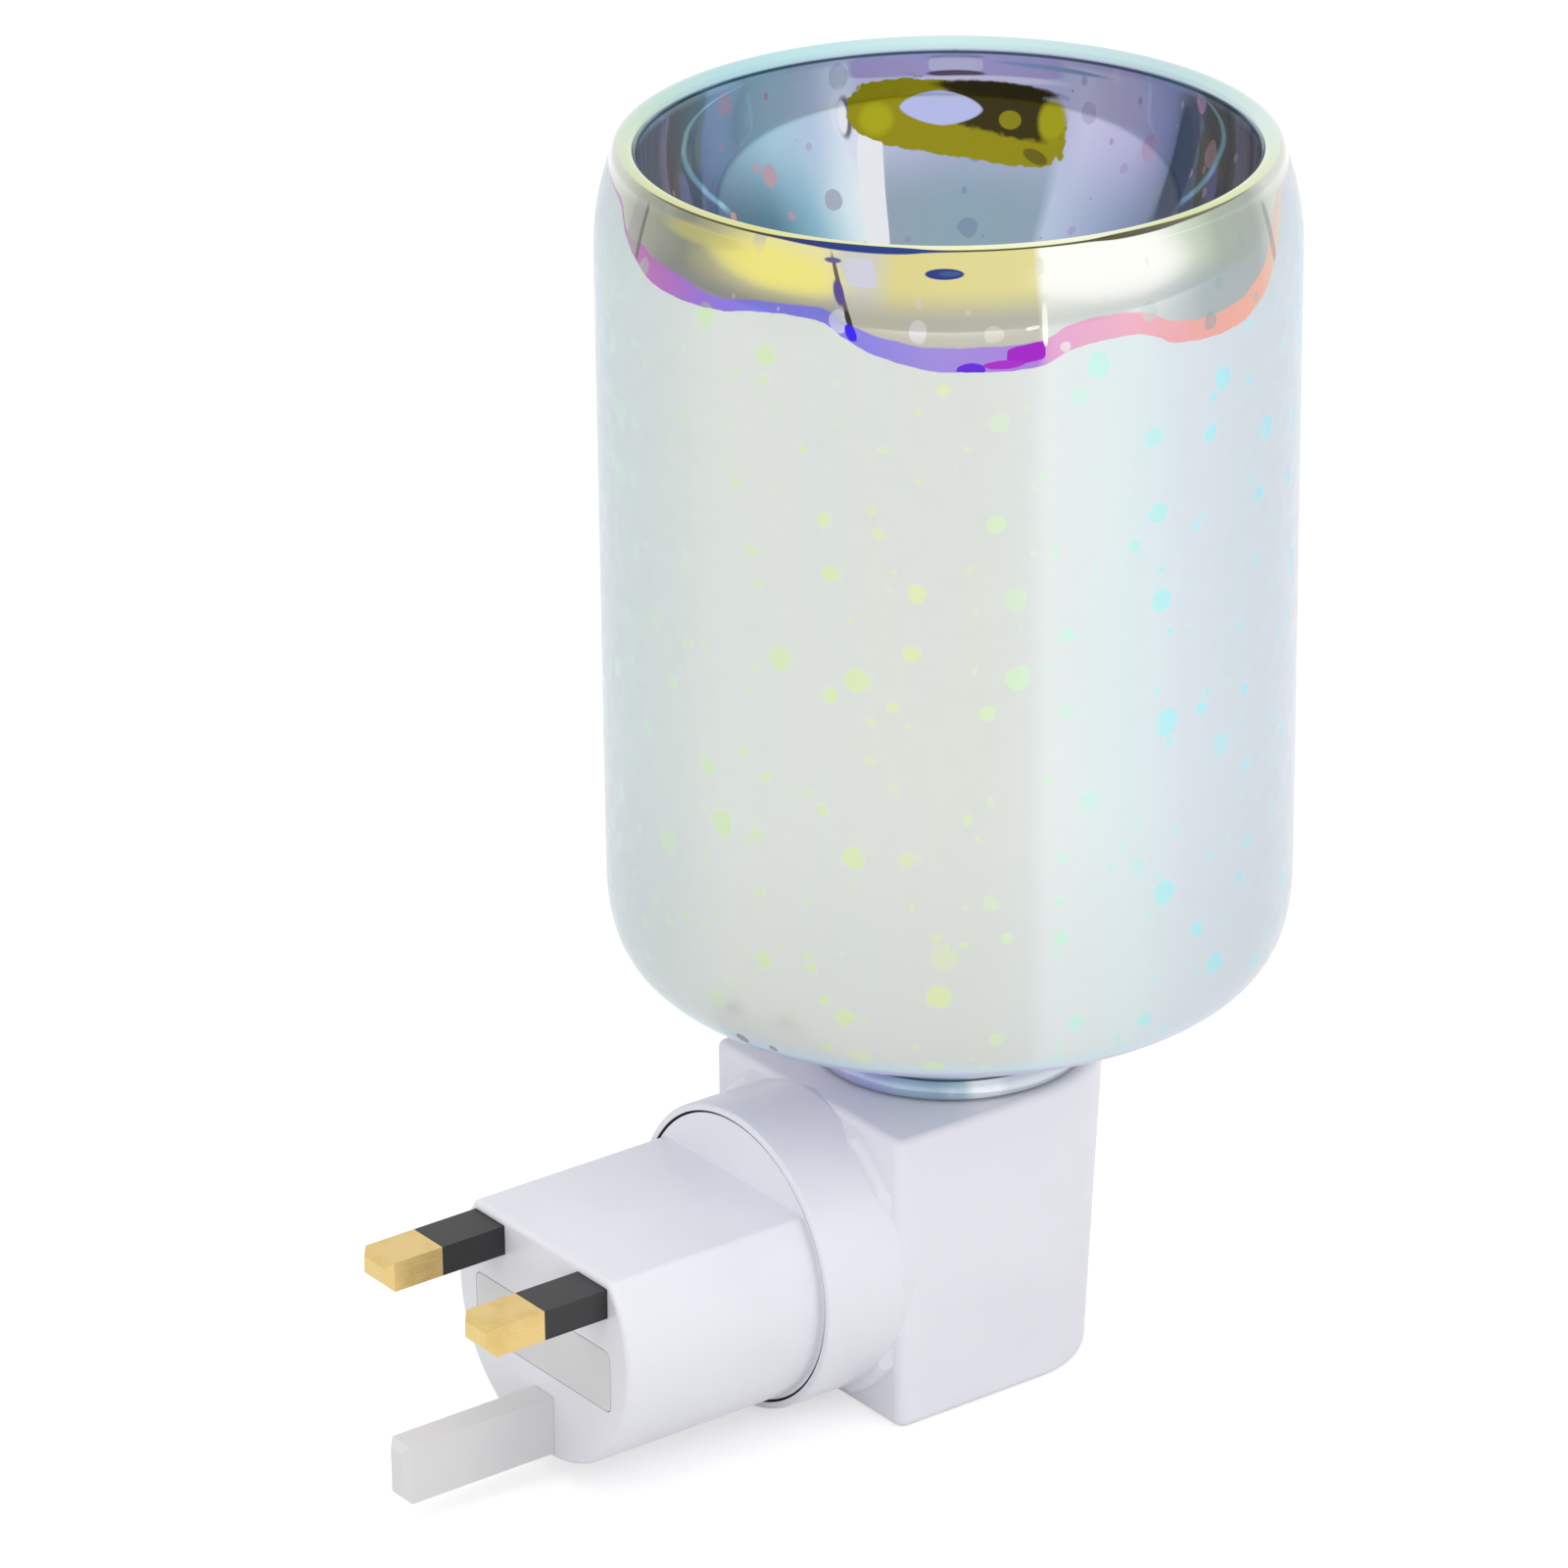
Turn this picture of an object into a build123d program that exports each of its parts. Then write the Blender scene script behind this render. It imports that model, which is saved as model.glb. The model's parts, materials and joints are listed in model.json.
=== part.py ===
from build123d import *
import os
from math import cos, radians, sin, sqrt, tan

# A wall-plug wax melt warmer. Lengths are in millimetres. The origin is the middle of the plug's pin
# face, on the swivel axis. +Y points into the wall, +Z is up, and the room lies towards -Y.
# A depth is a distance behind the pin face, so it grows towards the room.

# Fits
pin_fit = 0.05          # round each pin in the pin face
case_gap = 0.12         # between parts of a case that slide into each other
running_gap = 0.05      # between the hub and its bearing
thrust_gap = 0.1        # along the swivel axis
contact_gap = 0.08      # between a spring finger and its ring
thread_gap = 0.05       # between a screw and its pilot hole
overrun = 1.0           # how far a cut runs past the face that it opens

# Plug body
plug_length = 29.9
plug_radius = 18.7
plug_flat_height = 11.5
plug_corner_radius = 0.8
plug_end_radius = 0.8
plug_wall = 2.2
pin_wall = 5.0
lip_length = 3.0
lip_wall = 1.2

# Pins, to the pattern of a three-pin plug with flat pins
live_spacing = 22.2
earth_drop = 22.2
live_width = 6.35
live_height = 4.0
live_reach = 17.7
earth_width = 4.0
earth_height = 8.0
earth_reach = 22.73
live_level = 8.5
pin_chamfer = 0.9
tail_length = 4.0
live_tail_width = 4.0
live_tail_height = 2.5
earth_tail_height = 5.0
sleeve_reach = 9.5
sleeve_wall = 0.6

# Fuse and its carrier
fuse_radius = 3.15
fuse_length = 25.4
fuse_cap_length = 6.0
fuse_cap_wall = 0.35
fuse_level = -2.6
fuse_depth = 6.6
carrier_width = 29.0
carrier_height = 8.4
carrier_face = 2.8
carrier_corner = 1.0
cradle_width = 11.0
cradle_wall = 0.8
notch_width = 6.0
notch_height = 1.2
clip_width = 4.4
clip_thickness = 0.5
clip_place = 10.2
clip_post_height = 5.6

# Swivel
disc_thickness = 4.0
disc_recess = 0.2
disc_gap = 0.25
base_floor = 2.2
hub_radius = 9.0
hub_wall = 2.5
hub_end_length = 3.0
groove_depth = 0.8
groove_gap = 0.1
retainer_thickness = 1.0
retainer_radius = 12.3
retainer_opening = 9.0
peg_radius = 1.2
peg_height = 1.5
peg_place = 14.0
stop_rib_width = 2.8
stop_rib_height = 1.9

# Slip rings and their carrier
ring_flange = 1.7
ring_seat = 0.5
ring_thickness = 0.9
spigot_length = 5.0
line_ring_radius = 5.2
neutral_ring_radius = 2.5
ring_half_width = 0.75
lead_radius = 0.9
lead_gap = 0.1
lead_run = 10.0

# Housing
housing_half_width = 19.7
housing_top = 20.0
housing_drop = 20.8
housing_wall = 2.2
housing_corner = 1.5
top_edge_radius = 1.0
bottom_edge_radius = 1.0
nose_top_reach = 19.9
nose_bottom_reach = 16.0
shade_offset = 23.4
collar_length = 11.8
collar_radius = 20.4
collar_wall = 1.0
collar_flare = 1.4
flare_fade_angle = 45.0
collar_fade = 4.0
collar_fade_inset = 1.2
collar_edge_radius = 0.35
recess_side_gap = 0.7
bearing_length = 2.5

# Bottom cover and its screws
boss_radius = 3.2
boss_sink = 0.3
boss_height = 9.5
boss_web_width = 2.0
screw_radius = 1.15
screw_length = 8.0
screw_head_radius = 2.1
screw_head_height = 1.2
countersink_angle = 90.0
screw_slot_width = 0.5
screw_slot_depth = 0.5

# Shade seat and lamp holder
spigot_radius = 14.3
spigot_wall = 1.8
spigot_height = 8.0
spigot_chamfer = 0.6
holder_radius = 9.0
holder_bottom = 8.5
holder_height = 16.0
holder_ear_thickness = 3.0
holder_ear_width = 7.6
holder_ear_gap = 0.3
holder_screw_inset = 2.5
holder_boss_radius = 2.3
socket_depth = 6.0
socket_gap = 0.4
well_radius = 1.7
contact_radius = 1.55
contact_length = 6.0
contact_slot = 0.8
contact_tail_radius = 0.8
contact_tail_reach = 3.5

# Contact carrier and spring fingers
finger_reach = 6.2
carrier_thickness = 2.0
carrier_rib_reach = 2.0
carrier_rib_thickness = 1.2
carrier_top = 11.0
finger_width = 3.0
finger_thickness = 0.4
finger_side_gap = 3.3
finger_run = 4.2
finger_tip = 1.4
finger_tip_lift = 0.6
finger_tail = 4.0

# Rocker switch
switch_level = 0.5
switch_half_width = 6.6
switch_half_height = 6.1
switch_proud = 0.5
switch_body_depth = 9.5
switch_corner = 0.8
switch_lug_reach = 0.7
switch_lug_height = 5.0
switch_lug_length = 1.6
rocker_half_width = 5.2
rocker_half_height = 4.8
rocker_gap = 0.25
rocker_pivot_depth = 2.0
rocker_end_rise = 3.0
rocker_middle_rise = 2.6
rocker_back = 1.4
rocker_tilt = 7.0       # degrees to each side of level
rocker_pin_radius = 0.8
rocker_pin_reach = 0.7
rocker_well_depth = 4.6
terminal_place = 5.0
terminal_width = 3.0
terminal_thickness = 0.8
terminal_length = 3.4
terminal_setback = 7.0

# Wires inside the housing
wire_radius = 0.9
wire_low_level = -14.5

# Glass shade
shade_height = 123.4
shade_radius = 44.0
glass_wall = 1.8
shoulder_height = 13.7
shoulder_inset = 2.3
lip_height = 1.8
lip_thickness = 3.2
bowl_depth = 32.4
underside_turn = 80.0   # degrees that the bowl's underside turns before it joins the wall
bottom_rise = 10.7
corner_height = 16.2
corner_fullness_share = 0.8
neck_radius = 16.9
neck_bore_radius = 14.6
neck_root_radius = 3.5
bead_radius = 18.2
bead_height = 2.8
ridge_radius = 17.6
ridge_height = 2.2

# Lamp
lamp_radius = 6.7
lamp_wall = 0.9
lamp_shoulder = 3.35
lamp_length = 44.8
lamp_seat_gap = 0.2
pinch_width = 12.6
pinch_thickness = 5.4
pinch_height = 9.3
pinch_corner = 0.8
lamp_pin_spacing = 9.0
lamp_pin_radius = 0.35
lamp_pin_width = 2.0
lamp_pin_length = 5.6
filament_radius = 0.35
filament_height = 19.0
filament_half_width = 2.6

# Places that follow from the sizes above
disc_front = plug_length + disc_recess
disc_back = disc_front + disc_thickness
collar_front = plug_length
collar_inner = collar_radius - collar_wall
disc_radius = collar_inner - disc_gap
cup_floor = disc_back + thrust_gap + stop_rib_height
bearing_back = cup_floor + bearing_length
retainer_front = bearing_back + thrust_gap
hub_end = retainer_front + retainer_thickness + hub_end_length
hub_bore = hub_radius - hub_wall
ring_face = hub_end + ring_flange
ring_contact = ring_face - ring_seat + ring_thickness
ring_back = ring_face - ring_seat
carrier_depth = ring_contact + finger_reach
housing_back = collar_front + collar_length
inner_back = housing_back + housing_wall
shade_depth = housing_back + shade_offset
inner_half_width = housing_half_width - housing_wall
recess_radius = inner_half_width - recess_side_gap
finger_place = inner_half_width - finger_side_gap
finger_bend = finger_place - finger_run
holder_ear_reach = inner_half_width - holder_ear_gap
holder_screw_place = inner_half_width - holder_screw_inset
inner_top = housing_top - housing_wall
cover_top = housing_wall - housing_drop
earth_level = live_level - earth_drop
holder_top = holder_bottom + holder_height
socket_floor = holder_top - socket_depth
clip_base = fuse_depth + fuse_radius + 2 * clip_thickness + pin_fit
nose_slope = (nose_top_reach - nose_bottom_reach) / (housing_top + housing_drop)
nose_reach_at_switch = nose_bottom_reach + nose_slope * (switch_level + housing_drop)
shade_plane = Plane.XZ.offset(shade_depth)
shade_axis = Axis((0, -shade_depth, 0), (0, 0, 1))
switch_plane = Plane(
    origin=(0, -shade_depth - nose_reach_at_switch, switch_level),
    x_dir=(1, 0, 0),
    z_dir=(0, -1, -nose_slope),
)


def plug_outline(inset):
    """Draws the plug's round outline with one flat, drawn in all round by inset."""
    Circle(plug_radius - inset)
    with Locations((0, (plug_flat_height - plug_radius) / 2)):
        height = plug_radius + plug_flat_height - 2 * inset
        Rectangle(2 * plug_radius, height, mode=Mode.INTERSECT)


def housing_outline(inset, reach, back):
    """Draws the housing's plan: a flat side at the given depth and an oval nose round the shade axis."""
    half_width = housing_half_width - inset
    with BuildLine() as plan:
        flat_side = Line((-half_width, -back), (half_width, -back))
        Line(flat_side @ 1, (half_width, -shade_depth))
        EllipticalCenterArc((0, -shade_depth), half_width, reach - inset, start_angle=180, arc_size=180)
        Line((-half_width, -shade_depth), flat_side @ 0)
    make_face(plan.edges())


def oval_quarter(reach, depth, level, turn):
    """Draws an oval arc that starts on the axis, depth below level, and turns outwards and up."""
    half_turn = radians(turn / 2)
    return Bezier(
        (0, level - depth),
        (reach * tan(half_turn), level - depth),
        (reach * sin(2 * half_turn), level - depth * cos(2 * half_turn)),
        weights=(1, cos(half_turn), 1),
    )


def bend_radii(points):
    """Gives each corner of a route the largest round bend that its two runs leave room for."""
    radii = []
    for before, corner, after in zip(points, points[1:], points[2:]):
        run_in = Vector(*corner) - Vector(*before)
        run_out = Vector(*after) - Vector(*corner)
        turn = radians(run_in.get_angle(run_out))
        shorter = min(run_in.length, run_out.length)
        bend_share = 0.45
        radii.append(bend_share * shorter / tan(turn / 2))
    return radii


def wire_along(points, radius):
    """Sweeps a round wire along straight runs and the bends between them."""
    with BuildLine() as route:
        FilletPolyline(*points, radius=bend_radii(points))
    with BuildSketch(Plane(origin=route.line @ 0, z_dir=route.line % 0)) as section:
        Circle(radius)
    sweep(section.sketch, path=route.line)


# Plug body: a thick pin face and a round wall with one flat, open towards the room
with BuildPart() as plug_shell:
    with BuildSketch(Plane.XZ) as plug_section:
        plug_outline(0)
        fillet(plug_section.vertices(), plug_corner_radius)
    extrude(amount=disc_front)
    fillet(plug_shell.faces().sort_by(Axis.Y)[-1].edges(), plug_end_radius)
    with BuildSketch(Plane.XZ.offset(pin_wall)):
        plug_outline(plug_wall)
    extrude(amount=disc_front, mode=Mode.SUBTRACT)
    with BuildSketch(Plane.XZ.offset(-overrun)):
        with Locations((-live_spacing / 2, live_level), (live_spacing / 2, live_level)):
            Rectangle(live_width + 2 * pin_fit, live_height + 2 * pin_fit)
        with Locations((0, earth_level)):
            Rectangle(earth_width + 2 * pin_fit, earth_height + 2 * pin_fit)
        with Locations((0, fuse_level)):
            RectangleRounded(
                carrier_width + 2 * case_gap, carrier_height + 2 * case_gap, carrier_corner + case_gap
            )
    extrude(amount=pin_wall + 2 * overrun, mode=Mode.SUBTRACT)
plug_shell.part.label = "plug_shell"

# Live and neutral pins: a full section at the root and tip, necked between for the sleeve
live_pins = {}
for side, pin_name in ((-1, "line_pin"), (1, "neutral_pin")):
    with BuildPart() as live_pin:
        with BuildSketch(Plane.XZ.offset(-live_reach)):
            with Locations((side * live_spacing / 2, live_level)):
                Rectangle(live_width, live_height)
        extrude(amount=live_reach - sleeve_reach)
        chamfer(live_pin.faces().sort_by(Axis.Y)[-1].edges(), pin_chamfer)
        with BuildSketch(Plane.XZ.offset(-sleeve_reach)):
            with Locations((side * live_spacing / 2, live_level)):
                Rectangle(live_width - 2 * sleeve_wall, live_height - 2 * sleeve_wall)
        extrude(amount=sleeve_reach)
        with BuildSketch(Plane.XZ):
            with Locations((side * live_spacing / 2, live_level)):
                Rectangle(live_width, live_height)
        extrude(amount=pin_wall)
        with BuildSketch(Plane.XZ.offset(pin_wall)):
            with Locations((side * live_spacing / 2, live_level - (live_height - live_tail_height) / 2)):
                Rectangle(live_tail_width, live_tail_height)
        extrude(amount=tail_length)
    live_pin.part.label = pin_name
    live_pins[pin_name] = live_pin.part

# Insulating sleeves round the necks of the two pins
with BuildPart() as pin_sleeves:
    with BuildSketch(Plane.XZ.offset(-sleeve_reach)):
        with Locations((-live_spacing / 2, live_level), (live_spacing / 2, live_level)):
            Rectangle(live_width, live_height)
            Rectangle(
                live_width - 2 * sleeve_wall, live_height - 2 * sleeve_wall, mode=Mode.SUBTRACT
            )
    extrude(amount=sleeve_reach)
pin_sleeves.part.label = "pin_sleeves"

# Plastic earth pin, longer than the others, with a drawn-in tip
with BuildPart() as earth_pin:
    with BuildSketch(Plane.XZ.offset(-earth_reach)):
        with Locations((0, earth_level)):
            Rectangle(earth_width, earth_height)
    extrude(amount=earth_reach + pin_wall)
    chamfer(earth_pin.faces().sort_by(Axis.Y)[-1].edges(), pin_chamfer)
    with BuildSketch(Plane.XZ.offset(pin_wall)):
        with Locations((0, earth_level + (earth_height - earth_tail_height) / 2)):
            Rectangle(earth_width, earth_tail_height)
    extrude(amount=tail_length)
earth_pin.part.label = "earth_pin"

# Fuse carrier: a face flush with the pin face, with a cradle that holds the middle of the fuse
with BuildPart() as fuse_carrier:
    with BuildSketch(Plane.XZ):
        with Locations((0, fuse_level)):
            RectangleRounded(carrier_width, carrier_height, carrier_corner)
        with Locations((0, fuse_level + carrier_height / 2)):
            Rectangle(notch_width, 2 * notch_height, mode=Mode.SUBTRACT)
    extrude(amount=carrier_face)
    with BuildSketch(Plane.XZ.offset(carrier_face)):
        with Locations((0, fuse_level)):
            Rectangle(cradle_width, 2 * (fuse_radius + pin_fit + cradle_wall))
    extrude(amount=fuse_depth - carrier_face)
    with BuildSketch(Plane.YZ.offset(-cradle_width)):
        with Locations((-fuse_depth, fuse_level)):
            Circle(fuse_radius + pin_fit)
    extrude(amount=2 * cradle_width, mode=Mode.SUBTRACT)
fuse_carrier.part.label = "fuse_carrier"

# Cartridge fuse: a ceramic barrel, and a metal cap over each end
with BuildPart() as fuse_barrel:
    with BuildSketch(Plane.YZ.offset(fuse_cap_wall - fuse_length / 2)):
        with Locations((-fuse_depth, fuse_level)):
            Circle(fuse_radius - fuse_cap_wall)
    extrude(amount=fuse_length - 2 * fuse_cap_wall)
fuse_barrel.part.label = "fuse_barrel"

with BuildPart() as fuse_caps:
    with BuildSketch(Plane.YZ.offset(-fuse_length / 2)):
        with Locations((-fuse_depth, fuse_level)):
            Circle(fuse_radius)
    extrude(amount=fuse_cap_length)
    with BuildSketch(Plane.YZ.offset(fuse_cap_wall - fuse_length / 2)):
        with Locations((-fuse_depth, fuse_level)):
            Circle(fuse_radius - fuse_cap_wall)
    extrude(amount=fuse_cap_length, mode=Mode.SUBTRACT)
    mirror(about=Plane.YZ)
fuse_caps.part.label = "fuse_caps"

# Spring clips that grip the caps: the one on the line side also reaches the line pin's tail
fuse_clips = {}
for side, clip_name in ((-1, "line_clip"), (1, "fused_clip")):
    with BuildPart() as fuse_clip:
        with BuildSketch(Plane.YZ.offset(side * clip_place - clip_width / 2)):
            leg_rise = clip_base - fuse_depth + fuse_radius / 2
            with Locations((leg_rise / 2 - clip_base, fuse_level)):
                Rectangle(leg_rise, 2 * (fuse_radius + pin_fit + clip_thickness))
            with Locations((leg_rise / 2 - clip_base + clip_thickness, fuse_level)):
                Rectangle(leg_rise, 2 * (fuse_radius + pin_fit), mode=Mode.SUBTRACT)
        extrude(amount=clip_width)
        if side < 0:
            strap_foot = fuse_level + fuse_radius + pin_fit + clip_thickness
            strap_top = live_level - live_height / 2
            with BuildSketch(Plane.XY.offset(strap_foot)):
                with Locations((side * live_spacing / 2, -pin_wall - tail_length / 2)):
                    Rectangle(clip_width / 2, tail_length / 2)
            extrude(amount=strap_top - strap_foot)
    fuse_clip.part.label = clip_name
    fuse_clips[clip_name] = fuse_clip.part

# Swivel base: a disc that closes the plug, with a lip inside the shell, the hub and the clip posts
with BuildPart() as swivel_base:
    with BuildSketch(Plane.XZ.offset(disc_front - lip_length)):
        plug_outline(plug_wall + case_gap)
    extrude(amount=lip_length)
    with BuildSketch(Plane.XZ.offset(disc_front)):
        Circle(disc_radius)
    extrude(amount=disc_thickness)
    with BuildSketch(Plane.XZ.offset(disc_front - lip_length)):
        plug_outline(plug_wall + case_gap + lip_wall)
    extrude(amount=disc_back - base_floor - disc_front + lip_length, mode=Mode.SUBTRACT)
    with BuildSketch(Plane.XZ.offset(clip_base)):
        with Locations((-clip_place, fuse_level), (clip_place, fuse_level)):
            Rectangle(clip_width, clip_post_height)
    extrude(amount=disc_back - base_floor - clip_base)
    with BuildSketch(Plane.XZ.offset(disc_back)):
        Circle(hub_radius)
        with Locations((0, -peg_place)):
            Circle(peg_radius)
    extrude(amount=peg_height)
    with BuildSketch(Plane.XZ.offset(disc_back + peg_height)):
        Circle(hub_radius)
    extrude(amount=hub_end - disc_back - peg_height)
    with BuildSketch(Plane.XZ.offset(disc_back - base_floor - overrun)):
        Circle(hub_bore)
    extrude(amount=hub_end - disc_back + base_floor + 2 * overrun, mode=Mode.SUBTRACT)
    with BuildSketch(Plane.XZ.offset(retainer_front - groove_gap)):
        Circle(hub_radius + overrun)
        Circle(hub_radius - groove_depth, mode=Mode.SUBTRACT)
    extrude(amount=retainer_thickness + 2 * groove_gap, mode=Mode.SUBTRACT)
swivel_base.part.label = "swivel_base"

# Spring clip in the hub's groove, which holds the plug in the collar
with BuildPart() as retaining_clip:
    with BuildSketch(Plane.XZ.offset(retainer_front)):
        Circle(retainer_radius)
        Circle(hub_radius - groove_depth + groove_gap, mode=Mode.SUBTRACT)
        with Locations((0, retainer_radius)):
            Rectangle(retainer_opening, 2 * retainer_radius, mode=Mode.SUBTRACT)
    extrude(amount=retainer_thickness)
    fillet(retaining_clip.edges().filter_by(Axis.Y), groove_gap)
retaining_clip.part.label = "retaining_clip"

# Ring carrier: an insulating plug in the hub's end, with a seat for each slip ring
with BuildPart() as ring_carrier:
    with BuildSketch(Plane.XZ.offset(hub_end)):
        Circle(hub_radius)
    extrude(amount=ring_flange)
    with BuildSketch(Plane.XZ.offset(hub_end - spigot_length)):
        Circle(hub_bore - case_gap)
    extrude(amount=spigot_length)
    with BuildSketch(Plane.XZ.offset(ring_back)):
        for ring_radius in (line_ring_radius, neutral_ring_radius):
            Circle(ring_radius + ring_half_width)
            Circle(ring_radius - ring_half_width, mode=Mode.SUBTRACT)
    extrude(amount=ring_seat + overrun, mode=Mode.SUBTRACT)
    with BuildSketch(Plane.XZ.offset(hub_end - spigot_length)):
        with Locations((line_ring_radius, 0), (-neutral_ring_radius, 0)):
            Circle(lead_radius + lead_gap)
    extrude(amount=ring_back - hub_end + spigot_length, mode=Mode.SUBTRACT)
ring_carrier.part.label = "ring_carrier"

slip_rings = {}
for ring_radius, ring_name in ((line_ring_radius, "line_ring"), (neutral_ring_radius, "neutral_ring")):
    with BuildPart() as slip_ring:
        with BuildSketch(Plane.XZ.offset(ring_back)):
            Circle(ring_radius + ring_half_width)
            Circle(ring_radius - ring_half_width, mode=Mode.SUBTRACT)
        extrude(amount=ring_thickness)
    slip_ring.part.label = ring_name
    slip_rings[ring_name] = slip_ring.part

# Leads inside the plug, from the fuse clip and the neutral pin to the backs of the rings
lead_start_level = fuse_level - fuse_radius - pin_fit - clip_thickness
lead_low_level = earth_level + earth_tail_height / 2
line_lead_route = [
    (clip_place, -clip_base + clip_width / 2, lead_start_level),
    (clip_place, -clip_base + clip_width / 2, lead_low_level),
    (line_ring_radius, -disc_front + lead_run, lead_low_level),
    (line_ring_radius, -disc_front + base_floor + lead_radius, 0),
    (line_ring_radius, -ring_back, 0),
]
with BuildPart() as line_lead:
    wire_along(line_lead_route, lead_radius)
line_lead.part.label = "line_lead"

tail_end = pin_wall + tail_length
tail_level = live_level - (live_height - live_tail_height) / 2
neutral_lead_route = [
    (live_spacing / 2, -tail_end, tail_level),
    (live_spacing / 2, -tail_end - 1.5 * tail_length, tail_level),
    (-neutral_ring_radius, -disc_front + lead_run - lip_length, tail_level / 2),
    (-neutral_ring_radius, -disc_front, 0),
    (-neutral_ring_radius, -ring_back, 0),
]
with BuildPart() as neutral_lead:
    wire_along(neutral_lead_route, lead_radius)
neutral_lead.part.label = "neutral_lead"

# Flare that blends the collar into the housing's flat side and fades out towards that side's edges
with BuildPart() as collar_blend:
    with BuildSketch(Plane.XY):
        with BuildLine():
            crest = Line((0, -housing_back - overrun), (0, -housing_back + collar_flare))
            Line(crest @ 1, (collar_radius, -housing_back + collar_flare))
            RadiusArc(
                (collar_radius, -housing_back + collar_flare),
                (collar_radius + collar_flare, -housing_back),
                collar_flare,
            )
            Line(
                (collar_radius + collar_flare, -housing_back),
                (collar_radius + collar_flare, -housing_back - overrun),
            )
            Line((collar_radius + collar_flare, -housing_back - overrun), crest @ 0)
        make_face()
    revolve(axis=Axis.Y)
    with BuildSketch(Plane.XZ.offset(housing_back + overrun)):
        flat_height = housing_top + housing_drop - top_edge_radius - bottom_edge_radius
        with Locations((0, (housing_top - top_edge_radius - housing_drop + bottom_edge_radius) / 2)):
            Rectangle(2 * (housing_half_width - housing_corner + overrun), flat_height + 2 * overrun)
    extrude(amount=-collar_flare - overrun, taper=flare_fade_angle, mode=Mode.INTERSECT)

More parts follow.
